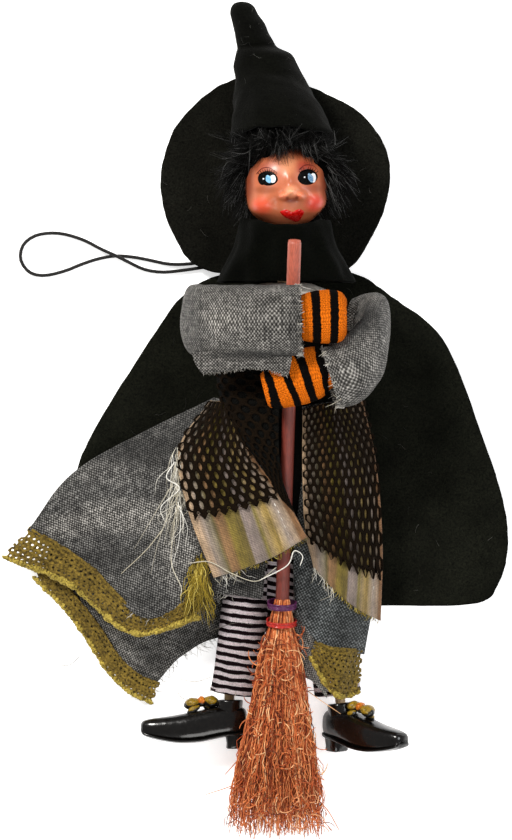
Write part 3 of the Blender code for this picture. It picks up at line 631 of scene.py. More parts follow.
# The sleeves' weave, with painted shade along their tops and edges and at the fold by the lining, and two faint
# painted highlights
SLEEVE_LOOK = burlap(
    "sleeve_weave", 0.48, 0.46, srgb(12, 12, 10), srgb(78, 76, 72), srgb(186, 182, 176),
    (
        ((-18.0, 29.0, 32.0), (7.0, 14.0, 20.0), SHADE, 0.55),
        ((-2.0, 40.5, 42.0), (22.0, 4.5, 20.0), SHADE, 0.6),
        ((-2.0, 19.0, 44.0), (22.0, 2.2, 20.0), DEEP_SHADE, 0.75),
        ((30.0, 30.5, 38.0), (12.0, 9.5, 22.0), DEEP_SHADE, 1.0),
        ((-2.0, 42.0, 36.0), (30.0, 4.0, 20.0), DEEP_SHADE, 0.6),
        ((34.0, 22.0, 34.0), (3.0, 12.0, 20.0), PAINTED_HIGHLIGHT, 0.2), ((-10.0, 30.0, 46.0), (9.0, 7.0, 20.0), PAINTED_HIGHLIGHT, 0.16),
        ((11.5, 29.0, 46.0), (4.0, 14.0, 20.0), SHADE, 0.6)
    )
)
# The right front skirt: a dark weave with painted highlights where its folds face the light, and painted shade at
# its top, in its hollows and by the hem
SKIRT_LOOK = burlap(
    "skirt_weave", 0.44, 0.56, srgb(6, 6, 6), srgb(58, 57, 55), srgb(158, 156, 152),
    (
        ((-30.0, 0.0, 15.0), (30.0, 16.0, 30.0), SHADE, 0.5),
        ((-10.0, -6.0, 20.0), (18.0, 22.0, 30.0), DEEP_SHADE, 0.7),
        ((-34.0, -9.0, 12.0), (24.0, 7.5, 30.0), SHADE, 0.75),
        ((-64.0, -38.0, 4.0), (5.0, 12.0, 30.0), SHADE, 0.5),
        ((-39.0, -28.5, 12.0), (20.0, 7.5, 30.0), PAINTED_HIGHLIGHT, 1.0),
        ((-56.0, -31.5, 6.0), (12.0, 5.5, 30.0), PAINTED_HIGHLIGHT, 0.8),
        ((-23.0, -40.0, 16.0), (10.0, 14.0, 30.0), PAINTED_HIGHLIGHT, 0.7),
        ((-44.0, -16.0, 9.0), (16.0, 5.0, 30.0), PAINTED_HIGHLIGHT, 0.2),
        ((-46.0, -41.0, 8.0), (16.0, 5.5, 30.0), SHADE, 0.6),
        ((-33.0, -53.0, 12.0), (8.0, 5.0, 30.0), SHADE, 0.5),
        ((-15.0, -50.0, 15.0), (6.0, 9.0, 30.0), DEEP_SHADE, 0.7),
        ((-2.0, -48.0, 15.0), (9.0, 9.0, 30.0), DEEP_SHADE, 0.5)
    )
)
# The back skirt's weave, with a faint painted highlight and painted shade towards its tail
DARK_SKIRT_LOOK = burlap(
    "dark_skirt_weave", 0.42, 0.5, srgb(16, 16, 14), srgb(78, 77, 73), srgb(186, 183, 178),
    (
        ((-36.0, -60.0, 2.0), (14.0, 8.0, 30.0), PAINTED_HIGHLIGHT, 0.2),
        ((-31.0, -73.0, 1.0), (7.0, 8.0, 30.0), SHADE, 0.5),
        ((-16.0, -66.0, 2.0), (10.0, 6.0, 30.0), DEEP_SHADE, 0.6)
    )
)
# The left skirt's weave, with painted shade low down and along its inner edge
LEFT_SKIRT_LOOK = burlap(
    "left_skirt_weave", 0.5, 0.56, srgb(10, 12, 12), srgb(56, 60, 60), srgb(142, 146, 146),
    (
        ((26.0, -62.0, 15.0), (9.0, 9.0, 30.0), SHADE, 0.5),
        ((16.0, -52.0, 17.0), (5.0, 12.0, 30.0), DEEP_SHADE, 0.5)
    )
)
PALE_SKIRT_LOOK = burlap(
    "pale_skirt_weave", 0.4, 0.46, srgb(40, 40, 38), srgb(128, 126, 122), srgb(214, 210, 204)
)
LACE_LOOK = spun("lace_olive", srgb(40, 30, 8), srgb(138, 114, 44), 0.7, 0.3)
LACE_EDGE_LOOK = spun("lace_yellow", srgb(82, 66, 14), srgb(204, 180, 82), 0.6, 0.3)
NET_LOOK = spun("net_brown", srgb(3, 2, 1), srgb(30, 21, 12), 0.3, 0.12, 0.0, 0.9, 0.04)
CORD_LOOK = spun("cord_elastic", srgb(8, 8, 8), srgb(36, 34, 32), 0.25, 0.06, 0.05, 0.6)
STUFFING_LOOK = spun("stuffing_cloth", srgb(150, 146, 136), srgb(205, 200, 190), 0.5, 0.1)
ORANGE = srgb(228, 112, 18)
RIBBON_STRIPES = tuple(
    (at, srgb(*colour)) for at,
    *colour in (
        (0.0, 196, 164, 128), (0.07, 190, 162, 134), (0.12, 166, 150, 136), (0.19, 150, 138, 112),
        (0.22, 112, 100, 58), (0.26, 172, 130, 88), (0.33, 150, 114, 72), (0.37, 148, 128, 52),
        (0.46, 118, 102, 42), (0.5, 126, 108, 56), (0.52, 162, 146, 138), (0.62, 146, 130, 120),
        (0.65, 136, 122, 54), (0.69, 172, 148, 108), (0.73, 182, 154, 90), (0.77, 162, 134, 64),
        (0.8, 192, 166, 124), (0.86, 184, 166, 152), (0.93, 180, 154, 126), (0.96, 140, 98, 58),
        (1.0, 160, 116, 78)
    )
)
GLOVE_LOOK = knit("knit_orange", 5.25, 4.8, ((0.53, ORANGE), (0.47, srgb(8, 6, 5))), 0.75, 0.6)
GLOVE_LEFT_LOOK = knit("knit_orange_left", 5.3, 5.1, ((0.55, ORANGE), (0.45, srgb(8, 6, 5))), 0.75, 1.4)
LEGGING_LOOK = knit(
    "knit_striped", 2.4, 0.0, ((0.52, srgb(24, 12, 16)), (0.48, srgb(240, 226, 230))), 0.42, 1.0
)
LEGGING_HEM_LOOK = spun("legging_hem", srgb(22, 14, 18), srgb(60, 46, 52), 0.4)
SHOE_LOOK = gloss("shoe_black", srgb(3, 2, 2), srgb(16, 13, 11), 0.2, 0.3, 0.12, 2.4)
BOW_LOOK = gloss("bow_olive", srgb(96, 78, 8), srgb(176, 138, 30), 0.35, 0.3, 0.1)
BOW_CENTRE_LOOK = gloss("bow_orange", srgb(150, 70, 8), srgb(222, 132, 20), 0.35, 0.3, 0.1)
BOW_EDGE_LOOK = gloss("bow_black", srgb(8, 8, 6), srgb(26, 24, 20), 0.3, 0.4)
# The stick's red paint: lit above Y 6, and darker below it as painted shade
STICK_LOOK = wood("stick_red", srgb(178, 88, 66), srgb(108, 40, 28), 6.0)
PALE_WOOD_LOOK = wood("wood_bare", srgb(196, 164, 118), srgb(196, 164, 118), 0.0)
WIRE_LOOK = gloss("wire_grey", srgb(120, 120, 120), srgb(170, 170, 168), 0.35, 0.0)
PURPLE_LOOK = gloss("tie_purple", srgb(60, 18, 54), srgb(104, 38, 92), 0.35, 0.3)
RED_LOOK = gloss("tie_red", srgb(150, 26, 20), srgb(206, 48, 34), 0.35, 0.3)
FIBRE_LOOK = thread(
    "broom_fibre",
    tuple(
        srgb(*c) for c in (
            (96, 34, 12), (160, 70, 30), (206, 106, 52), (226, 142, 84), (170, 70, 30), (214, 122, 66),
            (244, 190, 138)
        )
    ),
    0.7
)
HAIR_LOOK = thread(
    "hair_fur", tuple(srgb(c, c, c - 1) for c in (3, 5, 6, 8, 10, 12, 15, 18, 24, 36, 96)), 0.6, 0.0, 0.06
)
SCALP_LOOK = thread("hair_base", (srgb(2, 2, 2), srgb(5, 5, 4)), 0.9, 0.0, 0.03)
FRAY_LOOK = thread("fray_grey", (srgb(90, 86, 78), srgb(150, 146, 138), srgb(196, 192, 184)))
YELLOW_FRAY_LOOK = thread(
    "fray_yellow", (srgb(70, 56, 10), srgb(150, 128, 34), srgb(120, 100, 20), srgb(204, 184, 92))
)
PALE_FRAY_LOOK = thread("fray_pale", (srgb(176, 168, 146), srgb(216, 210, 194), srgb(238, 236, 228)))
LINT_LOOK = thread("lint", (srgb(30, 30, 26), srgb(52, 50, 46), srgb(104, 102, 96)))
SKIN_LOOK = painted_skin(
    "skin_painted", srgb(200, 108, 68),
    (
        ((1.4, 62.6, 29.0), (5.0, 4.6, 9.0), srgb(232, 84, 52), 0.8),
        ((17.9, 63.4, 29.0), (5.2, 5.0, 9.0), srgb(218, 58, 44), 0.85)
    ),
    (
        # Painted shadow on the forehead, under the hair
        ((9.0, 82.0, 28.0), (15.0, 7.5, 12.0), srgb(96, 34, 22), 0.9),
        # The brows' red paint
        ((14.6, 74.6, 30.0), (5.4, 3.2, 9.0), srgb(158, 44, 30), 0.75),
        ((2.6, 74.4, 30.0), (4.4, 2.6, 9.0), srgb(170, 78, 58), 0.6),
        # Painted shade under the nose
        ((10.4, 64.6, 32.0), (3.8, 1.2, 9.0), srgb(128, 50, 30), 0.8),
        # Painted shade in bands under the eyes, and down the sides of the face by the hair
        ((2.6, 67.8, 29.0), (5.6, 1.9, 9.0), srgb(148, 72, 34), 0.8),
        ((17.2, 68.2, 29.0), (5.0, 2.0, 9.0), srgb(150, 66, 34), 0.8),
        ((-2.6, 70.0, 24.0), (3.0, 9.0, 12.0), srgb(120, 50, 30), 0.7),
        ((21.0, 70.0, 24.0), (3.0, 9.0, 12.0), srgb(120, 44, 28), 0.7),
        # A painted highlight on the forehead
        ((9.4, 75.2, 30.0), (4.0, 5.0, 9.0), srgb(230, 156, 110), 0.6),
        # Lighter on the nose's tip and wings
        ((10.6, 67.2, 33.0), (3.4, 2.8, 12.0), srgb(255, 166, 124), 1.0),
        ((8.1, 66.0, 31.0), (1.9, 1.6, 9.0), srgb(250, 140, 100), 0.9),
        ((13.0, 66.1, 31.0), (1.9, 1.6, 9.0), srgb(250, 140, 100), 0.9),
        # Painted shade in the nostrils
        ((9.2, 65.2, 31.0), (0.8, 0.7, 9.0), srgb(120, 44, 26), 0.8),
        ((12.0, 65.3, 31.0), (0.8, 0.7, 9.0), srgb(120, 44, 26), 0.8)
    )
)
BLACK_PAINT = gloss("paint_black", srgb(2, 1, 1), srgb(4, 3, 3), 0.5, 0.02, 0.005, shine=0.06)
WHITE_PAINT = gloss("paint_white", srgb(222, 222, 228), srgb(250, 250, 250), 0.3, 0.3, 0.005)
BLUE_PAINT = gloss("paint_blue", srgb(96, 168, 212), srgb(160, 208, 236), 0.3, 0.3, 0.005, 0.6)
STEEL_PAINT = gloss("paint_steel_blue", srgb(62, 104, 140), srgb(150, 190, 220), 0.3, 0.3, 0.005, 0.6)
LIP_PAINT = gloss("paint_lips", srgb(176, 6, 6), srgb(220, 24, 18), 0.25, 0.35, 0.02)
BROW_PAINT = gloss("paint_brow", srgb(96, 24, 20), srgb(130, 40, 30), 0.4, 0.2, 0.005)


# ---------------------------------------------------------------- camera, light and floor

CAMERA_HEIGHT = 2.5
VIEW_HEIGHT = 0.25  # what the photograph's frame spans, from top to bottom


def add_light(name, kind, energy, colour, size, where, aim=(0, 0, 0)):
    lamp = bpy.data.lights.new(name, kind)
    lamp.energy = energy
    lamp.color = colour
    if kind == "AREA":
        lamp.shape = "DISK"
        lamp.size = size
    made = bpy.data.objects.new(name, lamp)
    made.location = where
    made.rotation_euler = (Vector(where) - Vector(aim)).to_track_quat("Z", "Y").to_euler()
    bpy.context.scene.collection.objects.link(made)


def studio():
    lens = bpy.data.cameras.new("overhead")
    lens.sensor_width = 36.0
    lens.lens = 36.0 * CAMERA_HEIGHT / VIEW_HEIGHT
    lens.clip_start = 0.1
    camera = bpy.data.objects.new("overhead", lens)
    camera.location = (0, 0, CAMERA_HEIGHT)
    bpy.context.scene.collection.objects.link(camera)
    bpy.context.scene.camera = camera

    floor = piece(
        "floor", [Vector((x, y, -0.4)) for x, y in ((-3e3, -3e3), (3e3, -3e3), (3e3, 3e3), (-3e3, 3e3))],
        [(0, 1, 2, 3)], paper()
    )
    world = bpy.data.worlds.new("studio")
    world.use_nodes = True
    world.node_tree.nodes["Background"].inputs[0].default_value = (1.0, 0.99, 0.97, 1.0)
    world.node_tree.nodes["Background"].inputs[1].default_value = 0.32
    bpy.context.scene.world = world
    bpy.context.scene.view_settings.view_transform = "Standard"
    add_light("key", "AREA", 24.0, (1.0, 0.97, 0.93), 0.35, (-0.75, 0.85, 1.1))
    add_light("fill", "AREA", 8.0, (0.95, 0.97, 1.0), 0.6, (0.9, 0.1, 1.1))
    add_light("low", "AREA", 5.0, (1.0, 0.98, 0.95), 0.6, (0.1, -0.9, 0.9))


def paper():
    look = Look("paper_white", 0.9)
    grain = look.noise(look.place(), 1.5, 3.0)
    colour = look.ramp(grain, (0.3, (0.93, 0.93, 0.93, 1)), (0.7, (0.97, 0.97, 0.97, 1)))
    look.shader.inputs["Emission Color"].default_value = (1, 1, 1, 1)
    look.shader.inputs["Emission Strength"].default_value = 0.6
    return look.finish(colour, grain, 0.02)


studio()


# ---------------------------------------------------------------- hanging loop

LOOP_ROUTE = (
    (-8.4, 47.9, 0.6), (-14.0, 47.2, 0.6), (-20.6, 46.4, 0.6), (-26.0, 46.4, 0.6), (-31.9, 47.6, 0.6),
    (-36.8, 48.5, 0.6), (-41.8, 48.8, 0.6), (-46.7, 48.0, 0.6), (-51.7, 46.4, 0.6), (-57.0, 44.3, 0.6),
    (-63.0, 43.0, 0.6), (-67.4, 44.0, 0.6), (-70.0, 47.6, 0.6), (-69.4, 51.8, 0.6), (-66.2, 54.6, 0.6),
    (-61.5, 55.6, 0.6), (-56.6, 55.2, 0.6), (-51.0, 53.4, 0.8), (-46.4, 51.0, 1.4), (-41.6, 48.8, 1.95),
    (-37.6, 46.8, 1.5), (-33.2, 44.8, 0.8), (-28.0, 44.0, 0.6), (-22.0, 44.5, 0.6), (-15.0, 45.5, 0.6),
    (-8.4, 46.3, 0.6)
)
LOOP_POINTS = 70
KNOT = (-6.9, 47.1, 1.4)


def pipe(name, points, radius, look, sides=8, lumps=0.0):
    """A round cord or wire along points, a little uneven if it has lumps."""
    rings = []
    for n, point in enumerate(points):
        ahead = heading(points, n)
        side = ahead.cross(Vector((0.2, 0.1, 1.0))).normalized()
        r = radius * (1 + lumps * wobble(point, radius * 2.2))
        rings.append(oval(point, side, ahead.cross(side), r, r, sides))
    return tube_piece(name, rings, look)


def hanging_loop():
    route = spline(LOOP_ROUTE, LOOP_POINTS)
    data = bpy.data.curves.new("loop_cord", "CURVE")
    data.dimensions = "3D"
    data.bevel_depth = 0.5 * MM
    data.bevel_resolution = 4
    data.use_fill_caps = True
    line = data.splines.new("POLY")
    line.points.add(len(route) - 1)
    for point, at in zip(line.points, route):
        point.co = (*mm(at), 1)
    data.materials.append(CORD_LOOK)
    cord = bpy.data.objects.new("loop_cord", data)
    bpy.context.scene.collection.objects.link(cord)
    place(cord, "torso", "elastic", ["hanging_loop"])

    turns = []
    for i in range(90):
        angle = TAU * 2 * i / 89
        reach = 0.62 + 0.3 * math.cos(1.5 * angle)
        offset = Vector((math.cos(angle) * reach, math.sin(angle) * reach, 0.34 * math.sin(1.5 * angle)))
        turns.append(Vector(KNOT) + offset)
    knot = pipe("loop_knot_tied", turns, 0.36, CORD_LOOK)
    place(knot, "torso", "elastic", ["loop_knot"])


hanging_loop()


# ---------------------------------------------------------------- fringes, threads and lint


FRINGE_LIFT = 0.2


def fringe(cloth, name, look, s_range, length, spacing, seed, radius=0.09, spread=0.5):
    """Loose ends of thread that hang from a cloth's lower edge."""
    draw = random.Random(seed)
    paths = []
    span = (s_range[1] - s_range[0]) * cloth.width
    for _ in range(round(span / spacing)):
        s = draw.uniform(*s_range)
        here = cloth.at(s, 1.0 - 0.03, FRINGE_LIFT)
        edge = cloth.at(s, 1.0, FRINGE_LIFT)
        down = (cloth.at(s, 1.0) - cloth.at(s, 1.0 - 0.06)).normalized()
        down.z = max(down.z, -0.3)
        aside = Vector((-down.y, down.x, 0))
        reach = length * draw.uniform(0.3, 1.15)
        bend = draw.gauss(0, spread)
        path = [here, edge]
        for k in range(1, 6):
            at = edge + down * reach * k / 5 + aside * bend * reach * (k / 5) ** 2
            at += jolt(draw, 0.12, 0.12, 0.1) * reach * 0.3
            at.z = max(at.z, 0.3)
            path.append(at)
        paths.append(spline(path, 10))
    return strands(name, paths, radius, look)


def loose_threads(name, look, ways, radius):
    """Long loose threads, each given by the places that it passes."""
    return strands(name, [spline(way, 8 * len(way)) for way in ways], radius, look, sides=5, tip=0.7)


LINT_LENGTH, LINT_RADIUS = 2.6, 0.045


def lint(name, surface_point, count, seed):
    """Short stray hairs on felt. surface_point(draw) gives a place on it."""
    draw = random.Random(seed)
    paths = []
    for _ in range(count):
        at = surface_point(draw)
        angle = draw.uniform(0, TAU)
        reach = LINT_LENGTH * draw.uniform(0.3, 1.2)
        aim = Vector((math.cos(angle), math.sin(angle), 0))
        turn = Vector((-aim.y, aim.x, 0)) * draw.uniform(-0.5, 0.5)
        paths.append([at + (aim * k + turn * k * k) * reach / 4 + UP * 0.1 for k in range(4)])
    return strands(name, paths, LINT_RADIUS, LINT_LOOK, sides=3)


# ---------------------------------------------------------------- cape, hat and collar

CAPE_OUTLINE = (
    (8.8, 44.3), (28.0, 44.0), (40.0, 37.0), (56.0, 23.5), (67.0, -4.0), (73.0, -22.0), (75.0, -36.0),
    (72.5, -48.0), (65.0, -54.6), (34.0, -55.2), (0.0, -54.9), (-32.0, -51.0), (-51.0, -43.6), (-54.5, -30.0),
    (-53.0, -14.0), (-45.0, 2.5), (-28.7, 28.0), (-20.7, 38.0), (-9.0, 43.6)
)
BRIM_OUTLINE = (
    (6.0, 103.0), (18.5, 98.0), (30.0, 92.0), (37.0, 84.0), (39.8, 75.0), (38.8, 65.0), (34.5, 54.5),
    (26.5, 44.5), (8.0, 42.8), (-10.0, 43.5), (-19.0, 46.8), (-24.5, 55.0), (-27.9, 65.0), (-28.0, 75.0),
    (-24.0, 87.0), (-15.0, 96.5), (-6.0, 101.5)
)


def felt_sheet(name, outline, centre, inner, low, thickness, look, lift):
    """A flat felt shape from an outline in to its hole or middle, cut a little unevenly."""
    around, rings = 160, 34
    edge = spline([(*p, 0) for p in (*outline, outline[0])], around + 1)[:-1]
    rows = []
    for j in range(rings + 1):
        t = j / rings
        row = []
        for p in edge:
            out = (p - Vector((*centre, 0))).normalized()
            start = Vector((*centre, 0)) + Vector((out.x * inner[0], out.y * inner[1], 0))
            at = start.lerp(p + out * 0.25 * wobble(p, 2.5), t)
            at.z = low + max(0.0, lift * (wobble(at, 16.0) * 0.5 + 0.4)) * t * t
            row.append(at)
        rows.append(row)
    made = grid_piece(name, rows, look, wrap=True)
    face_up(made)
    return thick(made, thickness)


def inside(outline, centre, draw, share=0.97):
    p, q = draw.choice(list(zip(outline, outline[1:] + outline[:1])))
    along = draw.random()
    edge = Vector((lerp(p[0], q[0], along), lerp(p[1], q[1], along), 0))
    return Vector((*centre, 0)).lerp(edge, math.sqrt(draw.random()) * share)


CAPE_CENTRE = (10.0, -6.0)
cape = felt_sheet("cape_felt", CAPE_OUTLINE, CAPE_CENTRE, (0.5, 0.5), 0.0, 1.1, CAPE_LOOK, 0.5)
place(cape, "torso", "felt", ["cape"])
cape_lint = lint("cape_lint", lambda draw: inside(CAPE_OUTLINE, CAPE_CENTRE, draw) + UP * 1.25, 60, "cape lint")
place(cape_lint, "torso", "felt")

BRIM_CENTRE = (8.8, 76.0)
brim = felt_sheet("hat_brim_felt", BRIM_OUTLINE, BRIM_CENTRE, (10.8, 8.8), 2.75, 1.1, FELT_LOOK, 0.8)
BRIM_BEND = ("torso", "head_group", (8.8, 76.0, 6.0), (8.8, 76.0, 17.0))
place(brim, slot="felt", replaces=["hat_brim"], blend=BRIM_BEND)
brim_lint = lint(
    "hat_brim_lint", lambda draw: inside(BRIM_OUTLINE, BRIM_CENTRE, draw) + UP * 4.3, 36, "brim lint"
)
place(brim_lint, slot="felt", blend=BRIM_BEND)

CROWN = (
    # height along Y, then the middle across and up, then the half width and half depth
    (82.6, 8.0, 18.5, 15.8, 14.0),
    (90.0, 6.6, 17.2, 13.8, 12.2),
    (96.0, 5.2, 15.2, 11.8, 10.4),
    (101.0, 4.1, 13.4, 10.4, 9.0),
    (105.0, 2.8, 12.2, 9.6, 8.0),
    (108.4, 2.2, 11.4, 8.3, 7.2),
    (110.4, 0.3, 10.8, 6.2, 5.2),
    (111.8, -0.2, 10.5, 5.7, 5.5),
    (114.5, -1.3, 10.0, 5.2, 5.1),
    (117.6, -2.2, 9.2, 4.8, 4.5),
    (120.4, -3.5, 8.5, 4.1, 3.8),
    (122.6, -3.9, 7.9, 3.3, 3.1),
    (123.7, -4.1, 7.6, 2.2, 2.1),
    (124.15, -4.2, 7.5, 0.7, 0.7),
)


def crown_shape():
    rings = []
    for n, (centre, size) in enumerate(stations_along(CROWN, 90)):
        ring = []
        for k in range(56):
            c, s = angled(TAU * k / 56)
            at = centre + Vector((c * size.x, 0, s * size.y))
            crumple = 0.05 * wobble(at, 7.0) + 0.03 * wobble(at, 3.2, 4.0)
            crumple -= 0.07 * math.exp(-(((at.y - 111.0 - 0.14 * at.x) / 0.9) ** 2)) * (0.5 + 0.5 * s)
            crumple -= 0.05 * math.exp(-(((at.y - 104.0 + 0.3 * at.x) / 1.6) ** 2)) * max(s, 0)
            crumple *= min(1.0, (124.2 - at.y) / 2)
            at = centre + (at - centre) * (1 + crumple)
            low = max(0.0, 1 - n / 22)
            at.y += low * (4.0 * max(s, 0.0) + 0.7 * wobble((c * 3, s * 3, 1), 1.0))
            ring.append(at)
        rings.append(ring)
    return rings


crown_rings = crown_shape()
crown = tube_piece("hat_crown_felt", crown_rings, CROWN_LOOK, 1.1, closed=False)
place(crown, "head_group", "felt", ["hat_crown"])


def on_crown(draw):
    ring = crown_rings[draw.randrange(4, 80)]
    return ring[draw.randrange(2, 27)] + UP * 0.15


place(lint("hat_crown_lint", on_crown, 34, "crown lint"), "head_group", "felt")


def collar():
    """The cape's upper edge, wound round the neck in soft folds."""
    stations = (
        (40.9, 8.8, 16.7, 20.4, 12.4), (43.0, 8.8, 16.8, 19.6, 12.5), (47.0, 8.8, 17.0, 17.6, 12.7),
        (51.0, 8.8, 17.2, 15.4, 12.8), (55.0, 8.8, 17.4, 14.2, 13.0), (58.0, 8.8, 17.5, 13.8, 13.1),
        (59.4, 8.8, 17.5, 13.2, 12.8)
    )
    rings = []
    for n, (centre, size) in enumerate(stations_along(stations, 44)):
        t = n / 43
        ring = []
        for k in range(96):
            angle = TAU * k / 96
            c, s = angled(angle)
            fold = 0.035 * math.sin(7 * angle + 5 * t + 1.2) + 0.02 * math.sin(13 * angle - 4 * t)
            fold += 0.04 * wobble((c * 3, s * 3, t * 4), 1.0)
            fold *= 0.35 + 0.65 * max(s, -0.2)
            at = centre + Vector((c * size.x * (1 + fold), 0, s * size.y * (1 + fold)))
            at.y += (0.7 * wobble((c * 4, s * 4, 2.0), 1.6) - 1.9 * max(s, 0.0) ** 3) * t
            at.z = max(at.z, 4.5)
            ring.append(at)
        rings.append(ring)
    made = tube_piece("cape_collar_felt", rings, COLLAR_LOOK, 1.2, closed=False)
    place(made, "torso", "felt", ["cape_collar"])


collar()


# ---------------------------------------------------------------- head and hair

HEAD_CENTRE = Vector((8.8, 70.0, 17.5))
HEAD_RADII = Vector((12.8, 13.6, 12.8))
# Bumps on the face: centre (x, y), reach (x, y) and how far each stands out
FACE_BUMPS = (
    ((10.5, 67.0), (1.6, 1.5), 3.2),  # nose tip
    ((8.2, 65.9), (1.0, 0.9), 2.3),
    ((12.9, 66.0), (1.0, 0.9), 2.3),
    ((10.5, 65.0), (1.1, 0.6), -0.9),
    ((9.8, 70.5), (1.3, 2.6), 0.8),  # bridge
    ((2.0, 62.4), (3.6, 3.2), 1.8),  # cheeks
    ((17.9, 63.4), (3.6, 3.4), 1.8),
    ((10.5, 60.3), (3.0, 1.7), 1.0),  # mouth
    ((10.2, 56.8), (3.4, 2.0), 1.0),  # chin
    ((3.4, 70.6), (2.8, 2.0), -0.5),  # eye sockets
    ((15.2, 71.2), (2.8, 2.0), -0.5),
    ((6.4, 63.8), (1.2, 1.6), -0.5),
    ((14.6, 63.9), (1.2, 1.6), -0.5),
)


def face_bump(x, y):
    total = 0.0
    for (cx, cy), (rx, ry), height in FACE_BUMPS:
        total += height * math.exp(-(((x - cx) / rx) ** 2) - ((y - cy) / ry) ** 2)
    return total


def head():
    rows = []
    for directions in globe(180, 120):
        row = []
        for d in directions:
            at = HEAD_CENTRE + d * HEAD_RADII
            front = max(0.0, d.z) ** 0.5
            at += UP * face_bump(at.x, at.y) * front
            for x, y, reach in ((1.0, 62.4, 2.2), (19.0, 63.6, 2.0)):
                near = math.exp(-(((at.y - y) / 3.4) ** 2) - (((at.x - x) / 5.0) ** 2)) * front
                at.x += math.copysign(reach, x - 8.8) * near
            row.append(at)
        rows.append(row)
    made = grid_piece("head_vinyl", rows, SKIN_LOOK, wrap=True)
    faces_out(made)
    return place(made, "head_group", "skin", ["head"])


head_piece = head()
head_tree = BVHTree.FromObject(head_piece, bpy.context.evaluated_depsgraph_get())


def on_face(x, y, lift):
    hit, normal, _, _ = head_tree.ray_cast(mm((x, y, 80)), Vector((0, 0, -1)))
    if hit is None:
        return Vector((x, y, HEAD_CENTRE.z))
    return hit / MM + normal * lift


def painted(name, outline, look, lift, rings=7):
    """A patch of paint on the face, inside an outline of (x, y) pairs."""
    middle = [sum(p[k] for p in outline) / len(outline) for k in (0, 1)]
    rows = []
    for j in range(rings + 1):
        t = 1 - j / rings * 0.999
        row = []
        for x, y in outline:
            low = lift * (0.15 if j == 0 else 1.0)
            row.append(on_face(lerp(middle[0], x, t), lerp(middle[1], y, t), low))
        rows.append(row)
    made = grid_piece(name, rows, look, wrap=True)
    face_up(made)
    place(made, "head_group", "skin")


def egg(cx, cy, rx, ry, power=2.0, tilt=0.0, count=40):
    ring = oval((0, 0, 0), (1, 0, 0), (0, 1, 0), rx, ry, count, power)
    return [(cx + a, cy + b) for a, b in (turned(p.x, p.y, tilt) for p in ring)]


def almond(cx, cy, rx, ry, tilt):
    """An eye's shape, round above and flatter below, drawn in towards its corners."""
    ring = []
    for i in range(40):
        c, s = angled(TAU * i / 40)
        y = math.copysign(abs(s) ** 1.15, s) * ry * (1.0 if s > 0 else 0.92)
        a, b = turned(c * rx, y, tilt)
        ring.append((cx + a, cy + b))
    return ring


def eye(side, centre, size, tilt, pupil, glint, iris_look, iris, white):
    cx, cy = centre
    rx, ry = size
    painted(f"eye_{side}_outline", almond(cx, cy, rx, ry, tilt), BLACK_PAINT, 0.16)
    painted(f"eye_{side}_white", egg(white[0], cy - 0.1, white[1], ry - 1.0, 2.3), WHITE_PAINT, 0.3)
    painted(f"eye_{side}_iris", egg(iris[0], cy - 0.15, iris[1], ry - 0.9, 1.6, 20.0), iris_look, 0.4)
    painted(f"eye_{side}_pupil", egg(*pupil, 1.25, ry - 0.4), BLACK_PAINT, 0.5)
    painted(f"eye_{side}_glint", egg(*glint, 0.3, 0.34, count=16), WHITE_PAINT, 0.62, 3)
    lashes = []
    for k in range(9):
        t = -0.8 + 1.6 * k / 8
        x, y = cx + rx * t, cy + ry * math.sqrt(max(0.0, 1 - t * t)) * 0.96
        tip = x + 0.5 * t, y + 0.75 - 0.25 * abs(t)
        lashes.append(
            [on_face(x, y, 0.2), on_face((x + tip[0]) / 2, (y + tip[1]) / 2, 0.5), on_face(*tip, 0.45)]
        )
    place(strands(f"eye_{side}_lashes", lashes, 0.1, HAIR_LOOK), "head_group", "hair")


eye("right", (3.5, 71.0), (2.95, 2.25), -8.0, (1.9, 71.0), (2.4, 70.95), BLUE_PAINT, (3.75, 0.95), (5.0, 0.95))
eye(
    "left", (15.2, 71.4), (3.0, 2.45), 10.0, (13.8, 71.4), (14.05, 71.4), STEEL_PAINT, (15.95, 0.8),
    (16.75, 0.85)
)

LIPS = (
    (6.96, 61.3), (7.9, 61.75), (8.9, 61.96), (10.0, 61.5), (10.9, 61.25), (11.8, 61.8), (12.8, 62.1),
    (13.6, 61.8), (14.2, 61.25), (13.6, 60.0), (12.9, 58.9), (12.0, 58.4), (10.6, 58.7), (8.9, 59.5),
    (7.7, 60.4)
)
lip_edge = [(p.x, p.y) for p in spline([(*p, 0) for p in (*LIPS, LIPS[0])], 49)[:-1]]
painted("lips", lip_edge, LIP_PAINT, 0.3)
for side, arc in (
    ("right", ((0.2, 72.4), (1.8, 74.0), (3.9, 74.2), (6.0, 72.9))),
    ("left", ((12.6, 73.6), (14.4, 75.0), (16.8, 74.8), (18.4, 73.2)))
):
    line = [on_face(p.x, p.y, 0.12) for p in spline([(*p, 0) for p in arc], 16)]
    place(strands(f"brow_{side}", [line], 0.13, BROW_PAINT), "head_group", "skin")

HAIR_CENTRE = Vector((8.8, 73.0, 17.4))
HAIR_RADII = Vector((16.2, 14.4, 12.9))


